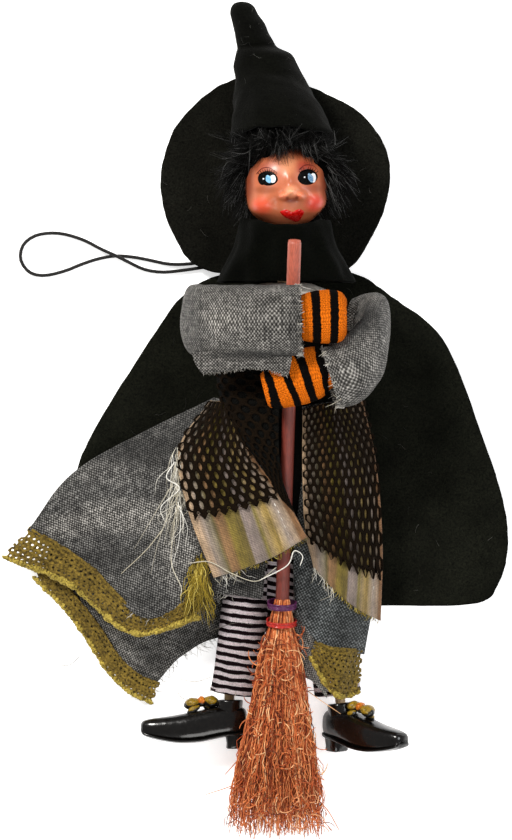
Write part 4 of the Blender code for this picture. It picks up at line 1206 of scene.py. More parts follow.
def wig_base():
    """The dark pile under the hair: a lumpy cap that is open for the face and the neck."""
    around, up = 120, 60
    rows = []
    for j in range(up + 1):
        # From the crown of the head, at +Y, down towards the nape
        fall = math.pi * 0.62 * j / up
        row = []
        for i in range(around):
            turn = TAU * i / around
            d = Vector((math.sin(fall) * math.sin(turn), math.cos(fall), math.sin(fall) * math.cos(turn)))
            hold = 1.0
            if d.z > 0.25:
                hold = 1 - 0.35 * min(1.0, (d.z - 0.25) * 2)
            face = max(0.0, d.z - 0.35) * max(0.0, 0.62 - d.y)
            reach = HAIR_RADII * (0.93 - 0.75 * face)
            at = HAIR_CENTRE + Vector((d.x * reach.x, d.y * reach.y * (hold if d.z > 0 else 1), d.z * reach.z))
            at += d * 0.8 * wobble(at, 2.4)
            row.append(at)
        rows.append(row)
    made = grid_piece("hair_cap", rows, SCALP_LOOK, wrap=True)
    faces_out(made)
    place(made, "head_group", "hair")


def lock(draw, root, tip, lift, count, part, wave):
    """Hairs that start together and part a little towards their tips."""
    paths = []
    across = (tip - root).cross(UP).normalized()
    for _ in range(count):
        start = root + jolt(draw, 0.9, 0.9, 0.4)
        end = tip + across * draw.gauss(0, 1.6) * part + (tip - root) * draw.uniform(-0.35, 0.08)
        end.z += draw.gauss(0, 0.6)
        middle = start.lerp(end, 0.5) + UP * lift * draw.uniform(0.5, 1.2) + across * draw.gauss(0, wave)
        paths.append(spline([start, middle, end], 9))
    return paths


def hair():
    draw = random.Random("fur wig")
    paths = []
    # A crown of hair all round the face, from the parting out and down
    for k in range(190):
        angle = math.radians(draw.uniform(-58, 238))  # from her left cheek over the top to her right one
        c, s = angled(angle)
        aside = min(1.0, max(0.0, 0.55 - s) * 1.6)  # further out and lower beside the cheeks
        root = HAIR_CENTRE + Vector(
            (c * (10.5 + 2.9 * aside), 3.0 + s * 7.6, 7.2 - 5.5 * aside + draw.uniform(-4, 3))
        )
        reach = draw.uniform(0.86, 1.2)
        tip = Vector(
            (
                8.6 + c * 18.6 * reach, 71.5 + s * 14.6 * reach - 2.6 * abs(c),
                20.0 + draw.uniform(-5, 13 - 9 * aside)
            )
        )
        tip.y = min(tip.y, 86.6)
        paths += lock(draw, root, tip, 2.0, 22, 0.6, 0.6)
    # Long strands down past the cheeks
    for k in range(50):
        side = draw.choice((-1, 1))
        root = Vector((9.2 + side * draw.uniform(12.4, 14.6), draw.uniform(73, 80), draw.uniform(16, 23)))
        tip = Vector((9.2 + side * draw.uniform(15.0, 19.4), draw.uniform(60.5, 68), draw.uniform(12, 18)))
        paths += lock(draw, root, tip, 1.2, 13, 0.5, 0.7)
    # Spikes that stick out past the rest
    for x, y, z in (
        (-13.1, 79.2, 26), (-12.4, 74.0, 22), (-11.6, 69.6, 19), (-8.3, 64.0, 17), (-6.0, 60.6, 16),
        (-8.4, 84.6, 30), (26.8, 83.0, 27), (28.3, 77.1, 22), (28.9, 70.7, 19), (27.0, 64.5, 17),
        (24.7, 61.3, 16), (-10.6, 82.5, 28)
    ):
        tip = Vector((x, y, z))
        root = HAIR_CENTRE.lerp(tip, 0.42) + UP * 3.0
        paths += lock(draw, root, tip, 1.5, 16, 0.35, 0.5)
    # Short hair that spreads over the hat's lower edge
    for k in range(44):
        x = draw.uniform(-8.0, 24.0)
        root = Vector((x * 0.92 + 0.7, draw.uniform(80.0, 82.5), 27.0 + draw.uniform(-1, 3)))
        tip = Vector(
            (
                x * 1.04 - 0.4 + draw.gauss(0, 2.5), draw.uniform(83.0, 86.8),
                32.4 - 0.02 * (x - 8.8) ** 2 + draw.random()
            )
        )
        paths += lock(draw, root, tip, 0.8, 8, 0.7, 0.3)
    # The fringe over the forehead
    for k in range(72):
        x = draw.uniform(-3.5, 21.0)
        root = Vector((x * 0.85 + 1.4, 83.0 + draw.uniform(-1.5, 1.5), 26.0 + draw.uniform(-1, 3)))
        low = 78.6 + 1.4 * math.sin(x * 0.7) - 0.03 * (x - 8.8) ** 2 + draw.uniform(-2.6, 1.2)
        tip = on_face(min(max(x * 1.05 + draw.gauss(0, 1.6), -2.8), 20.5), low, 0.8 + draw.random())
        paths += lock(draw, root, tip, 2.6, 10, 0.5, 0.5)
    made = strands("hair_fur", paths, 0.064, HAIR_LOOK, sides=3)
    place(made, "head_group", "hair", ["hair"])


wig_base()
hair()


# ---------------------------------------------------------------- body and dress

TORSO = (
    (-22.0, 8.8, 12.2, 12.0, 5.8), (-19.0, 8.8, 12.4, 14.0, 7.2), (-11.0, 8.8, 13.5, 16.0, 9.3),
    (0.0, 8.8, 15.0, 15.5, 10.8), (15.0, 8.8, 16.0, 16.0, 11.8), (30.0, 8.8, 16.5, 17.0, 12.0),
    (37.0, 8.8, 16.5, 15.0, 10.0), (40.5, 8.8, 17.0, 8.0, 7.0)
)


def body_rings(stations, grow, count, steps, ripple=None):
    rings = []
    for centre, size in stations_along(stations, steps):
        ring = []
        for k in range(count):
            angle = TAU * k / count
            c, s = angled(angle)
            more = grow + (ripple(angle, centre.y) if ripple else 0.0)
            ring.append(centre + Vector((c * (size.x + more), 0, s * (size.y + more))))
        rings.append(ring)
    return rings


CLOTH_FRAMES = 12


def pressed(made, most, remesh=True):
    """Blows a stuffed piece up with a cloth simulation, and lets no point move further than most."""
    if remesh:
        final(made, ("REMESH", {"mode": "VOXEL", "voxel_size": 1.1 * MM, "use_smooth_shade": True}))
    rest = [v.co.copy() for v in made.data.vertices]
    step = made.modifiers.new("cloth", "CLOTH")
    step.settings.use_pressure = True
    step.settings.uniform_pressure_force = 4.0
    step.settings.effector_weights.gravity = 0
    step.settings.quality = 4
    step.point_cache.frame_end = CLOTH_FRAMES + 2
    for frame_number in range(1, CLOTH_FRAMES + 1):
        bpy.context.scene.frame_set(frame_number)
    seen = made.evaluated_get(bpy.context.evaluated_depsgraph_get())
    moved = [v.co.copy() for v in seen.data.vertices]
    made.modifiers.clear()
    for vertex, start, end in zip(made.data.vertices, rest, moved):
        away = end - start
        if away.length > most * MM:
            away.length = most * MM
        vertex.co = start + away
    bpy.context.scene.frame_set(1)
    return final(made, ("SUBSURF", {"levels": 1, "render_levels": 1}))


def torso():
    made = tube_piece("torso_stuffed", body_rings(TORSO, -0.7, 48, 50), STUFFING_LOOK)
    pressed(made, 0.5)
    place(made, "torso", "stuffing", ["torso_core"])

    def gathers(angle, y):
        waist = math.exp(-(((y - 5.0) / 5.0) ** 2))
        return 0.5 + 0.55 * waist * math.sin(
            19 * angle + 1.5 * math.sin(y / 4)
        ) + 0.5 * wobble((angle * 3, y / 5, 0), 1.0)

    rings = body_rings(TORSO[2:-1], 0.8, 200, 90, gathers)
    bodice = tube_piece("dress_bodice_cloth", rings, BODICE_LOOK, 0.6, closed=False)
    place(bodice, "torso", "bodice_cloth", ["dress_bodice"])


torso()

SKIRT_BACK = (
    ((-8.0, 5.0, 1.6), (8.0, 5.0, 1.6), (26.0, 5.0, 1.6)),
    ((-36.0, -12.0, 1.6), (-14.0, -22.0, 1.6), (10.0, -24.0, 1.6), (31.0, -22.0, 1.6)),
    ((-58.0, -34.0, 1.6), (-30.0, -44.0, 1.6), (6.0, -48.0, 1.6), (33.0, -46.0, 1.6)),
    ((-61.0, -47.0, 1.7), (-46.0, -59.0, 2.0), (-26.0, -61.0, 2.0), (-8.0, -57.0, 1.7), (32.0, -57.0, 1.6)),
    ((-47.0, -69.0, 0.8), (-33.5, -80.0, 0.8), (-22.0, -70.0, 0.8), (-8.0, -64.0, 0.6), (30.0, -62.0, 0.6))
)
TAIL_LACE = (
    (
        (-62.5, -42.0, 3.4), (-53.5, -52.0, 3.8), (-46.0, -61.5, 3.8), (-40.5, -70.0, 3.2), (-34.5, -75.5, 2.6),
        (-28.5, -78.0, 2.2)
    ),
    (
        (-66.0, -46.6, 1.8), (-57.0, -55.6, 1.8), (-50.0, -65.0, 1.8), (-44.6, -73.6, 1.6), (-37.6, -80.6, 1.3),
        (-31.0, -84.0, 1.1)
    )
)
SKIRT_FRONT_RIGHT = (
    ((-12.0, 6.0, 17.0), (-6.0, 5.5, 25.0), (-1.0, 5.0, 28.4), (4.0, 4.0, 29.4)),
    ((-31.0, -3.0, 6.5), (-24.0, -11.0, 15.5), (-11.0, -14.0, 22.5), (4.0, -14.0, 25.2)),
    ((-53.5, -15.5, 4.4), (-42.0, -27.0, 11.0), (-24.0, -35.0, 17.0), (-8.0, -34.0, 18.0), (4.0, -33.0, 17.2)),
    ((-67.5, -32.5, 4.4), (-50.0, -43.5, 8.0), (-33.0, -58.5, 14.0), (-16.0, -51.5, 15.6), (2.0, -53.0, 15.2))
)
LACE_RIGHT = (
    ((-66.6, -31.6, 5.3), (-49.4, -42.6, 9.0), (-32.6, -57.4, 15.0), (-17.2, -51.9, 16.6)),
    ((-75.0, -40.5, 4.0), (-55.0, -48.8, 7.4), (-36.6, -62.8, 13.0), (-17.0, -58.0, 15.2))
)
SKIRT_FRONT_LEFT = (
    ((13.4, 4.0, 29.2), (18.5, 5.0, 28.0), (23.0, 5.5, 25.0), (29.0, 6.0, 15.0)),
    ((13.6, -16.0, 24.2), (20.0, -16.0, 24.4), (27.0, -17.0, 20.0), (33.0, -17.0, 9.0)),
    ((11.4, -40.0, 17.0), (19.0, -42.0, 17.8), (27.5, -44.0, 15.5), (34.8, -46.0, 6.5)),
    ((12.6, -58.0, 15.6), (18.6, -66.4, 16.2), (25.0, -68.4, 14.4), (31.4, -69.4, 7.5))
)
LEFT_UNDERLAYER = (
    ((11.0, -42.0, 14.6), (15.0, -44.0, 15.4), (19.0, -45.0, 15.6)),
    ((11.6, -62.0, 13.4), (15.6, -62.0, 14.2), (21.0, -62.0, 14.0)),
    ((14.2, -76.0, 13.0), (17.0, -77.6, 13.4), (21.0, -82.4, 13.0))
)
LACE_LEFT = (
    ((17.4, -65.2, 16.6), (22.0, -66.8, 16.4), (26.6, -67.4, 14.6), (31.2, -67.8, 8.4)),
    ((16.4, -70.0, 15.4), (20.4, -77.6, 15.2), (24.8, -81.6, 14.2), (30.2, -80.6, 8.4))
)
LEFT_BEND = ("torso", "leg_left", (18.0, -15.0, 12.0), (18.0, -50.0, 12.0))
TAIL_BEND = ("torso", "leg_right", (-20.0, -46.0, 1.5), (-20.0, -68.0, 1.5))


def bordered(name, lace, look, radius, reach=1.0, scallops=1.1, side=1.0, lift=0.2):
    """The thick corded border of a lace, in small scallops along its lower edge."""
    count = max(6, round(lace.width / scallops))
    points = []
    for k in range(count * 6 + 1):
        s = k / (count * 6)
        bulge = abs(math.sin(math.pi * s * count)) * 0.55
        at = lace.at(s, reach, lift)
        down = (lace.at(s, 1.0) - lace.at(s, 0.7)).normalized()
        points.append(at + down * (bulge - 0.3) * side)
    return pipe(name, points, radius, look, 7, 0.7)


def skirts():
    def soft_folds(p, s, t):
        drop = math.sin(math.pi * min(t * 1.2, 1.0)) ** 0.5
        ridge = 1.7 * math.sin(s * 11.0 + 2.0 * t) * t * (1 - 0.5 * t)
        crease = math.exp(
            -(((p.y + 25.5 + 0.12 * (p.x + 38)) / 5.0) ** 2)
        ) - math.exp(-(((p.y + 36 + 0.4 * (p.x + 46)) / 4.0) ** 2))
        ridge += 1.8 * crease * max(0.0, 1 - abs(p.x + 42) / 24)
        return ridge + 1.6 * wobble((p.x, p.y, 0), 14.0, 2.0) * t + 0.5 * wobble((p.x, p.y, 0), 5.0, 6.0) * drop

    back = Cloth(SKIRT_BACK, rippled(0.25, 9.0))
    made = draped("skirt_back_cloth", back, DARK_SKIRT_LOOK, 0.6, 120, 90, 0.35, grain=20)
    place(made, slot="burlap", replaces=["skirt_back"], blend=TAIL_BEND)
    back_fray = fringe(back, "skirt_back_fray", FRAY_LOOK, (0.05, 0.98), 3.2, 0.9, "back fray", 0.07, 0.7)
    place(back_fray, slot="burlap", blend=TAIL_BEND)

    right = Cloth(SKIRT_FRONT_RIGHT, soft_folds)
    made = draped("skirt_front_right_cloth", right, SKIRT_LOOK, 0.6, 150, 120, 0.35, grain=-32)
    place(made, "torso", "burlap", ["skirt_front_right"])
    fray = fringe(right, "skirt_right_fray", FRAY_LOOK, (0.4, 0.9), 2.4, 0.5, "right fray")
    place(fray, "torso", "burlap")

    left = Cloth(SKIRT_FRONT_LEFT, lambda p, s, t: 0.9 * math.sin(s * 9) * t + 0.5 * wobble((p.x, p.y, 0), 6.0))
    made = draped("skirt_front_left_cloth", left, LEFT_SKIRT_LOOK, 0.6, 80, 120, 0.35, grain=14)
    place(made, slot="burlap", replaces=["skirt_front_left"], blend=LEFT_BEND)
    under = draped("skirt_left_underlayer", Cloth(LEFT_UNDERLAYER), PALE_SKIRT_LOOK, 0.4, 40, 80, 0.0, grain=60)
    place(under, slot="burlap", blend=LEFT_BEND)


def lace(name, guides, folds, body, bend, replaces, border):
    cloth = Cloth(guides, folds)
    made = netting(name, cloth, LACE_LOOK, 1.7, 1.4, (0.36, 0.28), 0.45, 0.3)
    place(made, body, "lace", replaces, bend)
    edges = [bordered(f"{name}_border", cloth, LACE_EDGE_LOOK, border, 1.0)]
    edges.append(bordered(f"{name}_inner", cloth, LACE_LOOK, border * 0.55, 0.62, 1.9, 0.6, 0.5))
    edges.append(bordered(f"{name}_seam", cloth, LACE_LOOK, border * 0.6, 0.06, 2.4, 0.3, 0.5))
    for edge in edges:
        place(edge, body, "lace", blend=bend)
    return [made, *edges]


def right_ripples(p, s, t):
    return 0.7 * math.sin(s * 26) * t + 1.1 * wobble((p.x, p.y, 0), 3.0)


def tail_ripples(p, s, t):
    return max(0.0, 0.6 * math.sin(s * 34) + 1.0 * wobble((p.x, p.y, 0), 3.0)) * t


laces = {
    "right": lace("lace_right", LACE_RIGHT, right_ripples, "torso", None, ["skirt_lace_right"], 0.85),
    "back": lace("lace_back", TAIL_LACE, tail_ripples, None, TAIL_BEND, ["skirt_lace_back"], 0.7),
    "left": lace(
        "lace_left", LACE_LEFT, lambda p, s, t: 0.6 * math.sin(s * 14) * t, None, LEFT_BEND,
        ["skirt_lace_left"], 0.8
    )
}
skirts()

APRON_RIGHT = (
    ((-13.0, 5.5, 21.5), (-10.0, 5.4, 25.6), (-7.0, 5.0, 28.0), (-4.0, 4.4, 29.6)),
    ((-22.6, -9.0, 19.8), (-15.0, -10.0, 24.6), (-7.6, -10.4, 27.2), (-0.6, -10.6, 29.6)),
    ((-19.6, -27.6, 21.4), (-10.4, -25.8, 23.6), (-1.2, -23.4, 27.0), (8.0, -21.4, 30.2)),
    ((-12.4, -46.6, 19.4), (-4.6, -44.2, 21.0), (5.0, -40.4, 25.4), (15.0, -34.4, 27.0))
)
APRON_LEFT = (
    ((13.6, 3.0, 31.0), (19.5, 4.8, 30.0), (24.0, 5.4, 27.0), (31.0, 6.0, 17.0)),
    ((13.6, -15.0, 27.2), (21.0, -14.5, 26.6), (28.0, -14.0, 22.4), (35.0, -12.5, 11.8)),
    ((14.4, -32.0, 22.2), (23.5, -34.0, 21.6), (30.5, -35.0, 18.6), (37.0, -36.0, 9.6)),
    ((17.0, -43.0, 20.0), (23.0, -50.0, 19.6), (30.0, -56.0, 17.2), (36.5, -59.5, 9.0))
)
RIGHT_NET_END = ((-19.2, -30.2, 21.4), (-10.0, -28.4, 23.6), (-0.8, -26.0, 26.8), (8.6, -23.0, 29.8))
LEFT_NET_END = ((14.8, -36.0, 21.2), (23.4, -42.5, 20.5), (30.4, -46.5, 18.0), (36.8, -48.5, 9.4))
RIGHT_BEND = ("torso", "arm_right", (0.0, 2.0, 25.0), (0.0, -26.0, 25.0))
TEETH, TOOTH_DEPTH = 9, 0.05


def teeth(s):
    """The zigzag of a net's cut lower edge: how much of its length is left at s."""
    return 1.0 - TOOTH_DEPTH * abs(((s * TEETH) % 1.0) * 2 - 1)


DASH, DASH_GAP = 1.5, 0.9


def stitches(name, cloth, s, t_range, look):
    """A dashed line of sewing thread down a cloth."""
    span = (t_range[1] - t_range[0]) * cloth.length
    paths = []
    for k in range(int(span / (DASH + DASH_GAP))):
        ways = []
        for part, high in ((0.0, 0.15), (0.25, 0.55), (0.75, 0.55), (1.0, 0.15)):
            t = t_range[0] + (k * (DASH + DASH_GAP) + part * DASH) / span * (t_range[1] - t_range[0])
            ways.append(cloth.at(s, t, high))
        paths.append(ways)
    return strands(name, paths, 0.16, look, sides=5, tip=0.9)


def apron(side, guides, net_end, bend):
    cloth = Cloth(guides, rippled(0.5, 7.0, 3.0, hem=True))
    made = draped(
        f"apron_ribbon_{side}_cloth", cloth, ribbon(f"ribbon_{side}", cloth.width, RIBBON_STRIPES), 0.4, 90, 90,
        0.25
    )
    place(made, slot="ribbon", replaces=[f"apron_ribbon_{side}"], blend=bend)
    seed = side[0]
    fray = [
        fringe(cloth, f"apron_{side}_fray", PALE_FRAY_LOOK, (0.0, 0.35), 5.0, 0.55, seed, 0.08, 0.8),
        fringe(cloth, f"apron_{side}_fray_yellow", YELLOW_FRAY_LOOK, (0.2, 1.0), 1.4, 0.3, seed + "y", 0.09),
        stitches(f"apron_{side}_stitches", cloth, 0.87, (0.62, 0.98), PALE_FRAY_LOOK)
    ]
    for item in fray:
        place(item, slot="ribbon", blend=bend)

    lifted = []
    for row in (*guides[:2], net_end):
        points = [Vector(p) for p in row]
        ways = [heading(points, i) for i in range(len(points))]
        lifted.append([p + Vector((-way.z, 0, way.x)) * 1.2 for p, way in zip(points, ways)])
    net_cloth = Cloth(lifted)
    net = netting(f"apron_net_{side}_cloth", net_cloth, NET_LOOK, 2.8, 2.5, (0.66, 1.12), 0.3, 0.05, teeth)
    place(net, slot="net", replaces=[f"apron_net_{side}"], blend=bend)


apron("right", APRON_RIGHT, RIGHT_NET_END, RIGHT_BEND)
apron("left", APRON_LEFT, LEFT_NET_END, LEFT_BEND)


def extras():
    """The black net between the aprons, the striped cloth between the legs, and the loose threads."""
    panel = Cloth(
        (
            ((-12.0, 14.6, 24.5), (-8.0, 14.4, 28.4), (-1.0, 13.6, 30.8), (7.0, 12.6, 31.4)),
            ((-10.2, 5.6, 26.5), (-6.5, 5.0, 30.0), (0.0, 4.6, 32.2), (6.8, 4.0, 32.8)),
            ((-4.6, -5.0, 30.2), (-1.5, -5.6, 31.2), (2.8, -6.4, 32.0), (6.7, -7.0, 32.4)),
            ((2.4, -15.0, 31.0), (4.2, -15.6, 31.4), (6.0, -16.4, 31.8), (7.8, -17.6, 32.0)),
            ((7.6, -23.6, 31.2), (8.8, -24.6, 31.2), (10.0, -25.8, 31.2), (11.2, -27.0, 31.2))
        ),
        rippled(0.4, 3.5)
    )
    # Under the middle net, a near-black sheet: the cloth beneath, darkened as painted shade
    backing = draped("apron_centre_backing", panel, BODICE_LOOK, 0.3, 50, 70, -0.3)
    net = netting("apron_centre_net", panel, NET_LOOK, 2.84, 2.25, (0.78, 1.16), 0.3, 0.3)
    for made in (backing, net):
        place(made, "torso", "net")

    # The near-black cloth behind the broom's stick, where the two front panels don't meet: its darkness is partly
    # painted shade
    gap = Cloth(
        (
            ((2.0, 12.0, 27.6), (9.0, 12.0, 28.0), (16.5, 12.0, 27.8)),
            ((2.0, -6.0, 25.6), (9.0, -6.0, 26.0), (16.5, -6.0, 26.0)),
            ((2.0, -22.0, 21.4), (9.0, -22.0, 21.8), (16.5, -22.0, 22.6)),
            ((2.0, -40.0, 16.0), (9.0, -40.0, 16.6), (16.0, -40.0, 17.2))
        ),
        rippled(0.3, 4.0)
    )
    place(draped("apron_gap_cloth", gap, BODICE_LOOK, 0.3, 40, 60, 0.0), "torso", "bodice_cloth")

    between = Cloth(
        (
            ((3.5, -38.0, 13.6), (8.0, -38.0, 14.0), (12.4, -39.0, 13.6)),
            ((3.4, -48.0, 11.2), (7.6, -49.0, 11.6), (12.2, -50.0, 11.2)),
            ((3.0, -57.0, 8.8), (7.0, -57.6, 9.2), (11.6, -58.0, 9.0))
        ),
        rippled(0.5, 3.0)
    )
    place(draped("legging_seat", between, LEGGING_LOOK, 0.5, 40, 50), "torso", "striped")

    # The yellow tuft where the right hem's lace ends
    draw = random.Random("tuft")
    paths = []
    for _ in range(230):
        start = Vector((-16.4 + draw.gauss(0, 1.0), -43.4 + draw.gauss(0, 1.6), 18.4 + draw.random()))
        tip = Vector((draw.uniform(-23.5, -11.5), draw.uniform(-61.5, -55.0), 16.0 + draw.uniform(-0.5, 1.5)))
        end = start.lerp(tip, draw.uniform(0.45, 1.05))
        ways = [
            start.lerp(end, k / 4) + Vector(
                (draw.gauss(0, 0.7), draw.gauss(0, 0.5), 0.6)
            ) * min(k, 1) for k in range(4)
        ]
        paths.append(spline([*ways, end], 12))
    place(strands("lace_tuft", paths, 0.16, YELLOW_FRAY_LOOK), "torso", "lace")

    # Threads: the long frayed edge of the right apron, and strays
    paths = []
    for _ in range(60):
        start = Vector((-23.0 + draw.gauss(0, 0.8), draw.uniform(-26.0, -8.0), 21.4))
        reach = draw.uniform(4, 22)
        aim = Vector((draw.gauss(-0.12, 0.22), -1, 0))
        bend = Vector((draw.gauss(0, 1.6), 0, draw.uniform(0, 1.0)))
        end = start + aim * reach
        end.z = 20.6 - 0.16 * (start.y - end.y)
        paths.append(spline([start, start.lerp(end, 0.5) + bend, end], 12))
    place(strands("apron_right_side_fray", paths, 0.09, PALE_FRAY_LOOK), slot="ribbon", blend=RIGHT_BEND)
    ways = (
        (
            (-24.1, -12.5, 21.6), (-26.4, -17.0, 20.8), (-22.6, -20.2, 21.8), (-28.0, -25.6, 19.0),
            (-27.0, -30.0, 18.0)
        ),
        ((-27.6, -32.4, 17.8), (-32.6, -38.6, 16.2), (-39.9, -45.5, 14.0)),
        ((-24.0, -30.0, 19.0), (-25.0, -42.0, 17.4), (-22.0, -50.0, 17.4), (-24.0, -54.0, 16.8)),
        (
            (-19.8, -42.3, 19.0), (-13.7, -41.9, 21.2), (-6.8, -45.4, 22.4), (0.2, -47.5, 23.0),
            (6.0, -43.4, 25.8)
        ),
        ((1.2, -47.2, 23.4), (9.1, -42.9, 26.2), (11.2, -38.6, 28.0), (13.7, -40.0, 27.0), (13.0, -42.9, 26.4))
    )
    place(loose_threads("threads_pale", PALE_FRAY_LOOK, ways, 0.16), slot="ribbon", blend=RIGHT_BEND)
    ways = (
        ((-23.2, -77.0, 1.0), (-18.0, -77.8, 1.2), (-13.4, -76.5, 0.8)),
        ((-24.0, -80.0, 1.2), (-22.0, -82.6, 1.0), (-19.0, -83.4, 0.8)),
        ((-56.0, -60.0, 1.0), (-62.0, -64.0, 0.8), (-68.0, -65.0, 0.7), (-73.0, -68.5, 0.6)),
        ((-52.0, -70.0, 0.8), (-56.0, -73.0, 0.6), (-62.0, -72.0, 0.6)),
        ((-14.0, -62.6, 15.4), (-6.0, -60.0, 15.4), (-1.0, -60.6, 15.6))
    )
    place(loose_threads("threads_grey", FRAY_LOOK, ways, 0.1), slot="burlap", blend=TAIL_BEND)


extras()


# ---------------------------------------------------------------- arms

SLEEVES = {
    "right": (
        (
            (-11.0, 31.0, 17.0), (-15.0, 30.6, 18.8), (-18.0, 29.6, 25.0), (-14.6, 29.2, 34.0),
            (-6.0, 29.1, 41.2), (4.0, 29.1, 45.4), (13.2, 29.2, 45.4)
        ),
        (5.0, 8.0, 10.4, 10.5, 10.5, 10.5, 10.4), (4.6, 4.4, 4.0, 4.0, 4.2, 4.6, 4.9)
    ),
    "left": (
        (
            (28.6, 31.0, 17.0), (32.6, 30.4, 18.8), (35.4, 28.2, 24.5), (34.4, 23.6, 31.5), (30.8, 17.4, 36.8),
            (26.4, 13.8, 39.6), (21.4, 12.2, 40.2)
        ),
        (5.0, 7.4, 8.6, 9.0, 9.2, 9.3, 9.4), (4.6, 4.4, 4.0, 4.0, 4.2, 4.4, 4.6)
    )
}
GLOVES = {
    "right": (
        ((7.6, 29.8, 45.3), (14.0, 30.0, 45.0), (19.5, 30.2, 44.2), (24.5, 30.2, 43.4), (26.6, 30.2, 43.2)),
        (4.6, 6.8, 7.9, 7.4, 5.2), (1.8, 2.6, 3.6, 3.2, 1.8)
    ),
    "left": (
        ((24.0, 14.6, 39.9), (19.0, 14.4, 40.2), (12.0, 12.2, 40.0), (5.4, 9.6, 39.6), (2.4, 8.8, 39.2)),
        (4.0, 7.2, 8.0, 6.6, 4.8), (1.8, 2.6, 3.2, 3.0, 1.8)
    )
}


def creased(rings, depth, folds, seed):
    """Rings pushed in and out by folds that run round a bent tube, and by softer wrinkles."""
    found = []
    last = len(rings) - 1
    for n, ring in enumerate(rings):
        centre = sum(ring, Vector()) / len(ring)
        t = n / last
        moved = []
        for k, at in enumerate(ring):
            angle = TAU * k / len(ring)
            push = 0.6 * math.sin(folds * t * TAU + 1.5 * math.sin(angle + seed) + seed)
            push *= 0.5 + 0.5 * math.cos(angle * 2 + seed * 3)
            push += 0.9 * wobble((at.x, at.y, at.z), 5.5, seed)
            moved.append(at + (at - centre).normalized() * push * depth)
        found.append(moved)
    return found


def end_fray(name, ring, ahead, look, count, length, seed, radius=0.09):
    """Threads sticking out of a tube's cut edge."""
    draw = random.Random(seed)
    paths = []
    for _ in range(count):
        k = draw.randrange(len(ring))
        at = ring[k].lerp(ring[(k + 1) % len(ring)], draw.random())
        aim = Vector(ahead) + jolt(draw, 0.3, 0.35, 0.2)
        reach = length * draw.uniform(0.3, 1.1)
        bend = jolt(draw, 0.3, 0.3, 0.15) * reach
        paths.append(
            spline([at - aim * 1.2, at, at + aim * reach * 0.5 + bend * 0.3, at + aim * reach + bend], 9)
        )
    return strands(name, paths, radius, look)


def arms():
    for side, (path, widths, heights) in SLEEVES.items():
        body = f"arm_{side}"
        rings = rings_along(path, widths, heights, (0, 1, 0), 84, 110, 2.3)
        rings = creased(rings, 0.42, 3.2 if side == "right" else 2.4, 1.0 if side == "right" else 2.3)
        sleeve = tube_piece(f"sleeve_{side}_cloth", rings, SLEEVE_LOOK, 0.7, closed=False)
        place(sleeve, body, "burlap", [f"sleeve_{side}"])
        ahead = (Vector(path[-1]) - Vector(path[-2])).normalized()
        fray = end_fray(f"sleeve_{side}_fray", rings[-1], ahead, FRAY_LOOK, 110, 0.7, side)
        place(fray, body, "burlap")
        pale = end_fray(f"sleeve_{side}_pale_fray", rings[-1], ahead, PALE_FRAY_LOOK, 7, 2.2, side + "p", 0.08)
        place(pale, body, "burlap")

        path, widths, heights = GLOVES[side]
        rings = rings_along(path, widths, heights, (0, 1, 0), 60, 70, 3.2)
        rings = creased(rings, 0.25, 1.5, 3.0)
        look = GLOVE_LOOK if side == "right" else GLOVE_LEFT_LOOK
        glove = tube_piece(f"glove_{side}_knit", rings, look)
        pressed(glove, 0.25, remesh=False)
        place(glove, body, "knit", [f"glove_{side}"])

    # The lining's edge that shows under the right sleeve
    lining = Cloth(
        (
            ((-18.6, 19.6, 37.5), (-10.0, 20.4, 42.0), (0.0, 20.2, 45.4), (10.6, 19.4, 46.2)),
            ((-17.6, 16.6, 37.4), (-9.0, 17.2, 41.6), (0.4, 17.4, 45.0), (10.2, 16.2, 46.0)),
            ((-15.6, 13.8, 36.6), (-8.0, 14.6, 40.6), (0.6, 15.3, 44.0), (9.6, 13.2, 45.0))
        ),
        rippled(0.5, 4.0)
    )
    layer = draped("sleeve_right_lining", lining, SLEEVE_LOOK, 0.5, 80, 30, 0.0, grain=0)
    place(layer, "arm_right", "burlap")
    edge = fringe(lining, "sleeve_right_lining_fray", FRAY_LOOK, (0.0, 1.0), 0.9, 0.25, "lining")
    place(edge, "arm_right", "burlap")


arms()


# ---------------------------------------------------------------- broom

FIBRE_END = -124.0  # no fibre reaches past this
FIBRE_POINTS = 26
STICK_TOP = Vector((11.3, 52.8, 43.0))
STICK_END = Vector((7.5, -61.0, 17.3))
BRISTLES = (
    (-49.5, 7.9, 20.0, 3.4, 3.4), (-55.0, 7.7, 18.7, 3.3, 3.3), (-61.0, 7.5, 17.3, 3.6, 3.6),
    (-70.0, 7.2, 16.6, 6.4, 5.2), (-80.0, 6.9, 16.2, 8.0, 6.0), (-90.0, 6.6, 16.0, 10.0, 6.6),
    (-100.0, 6.4, 14.6, 12.4, 7.6), (-110.0, 6.2, 12.6, 14.6, 8.6), (-124.2, 6.0, 10.1, 17.4, 9.6)
)


def on_stick(y):
    return STICK_TOP.lerp(STICK_END, (STICK_TOP.y - y) / (STICK_TOP.y - STICK_END.y))


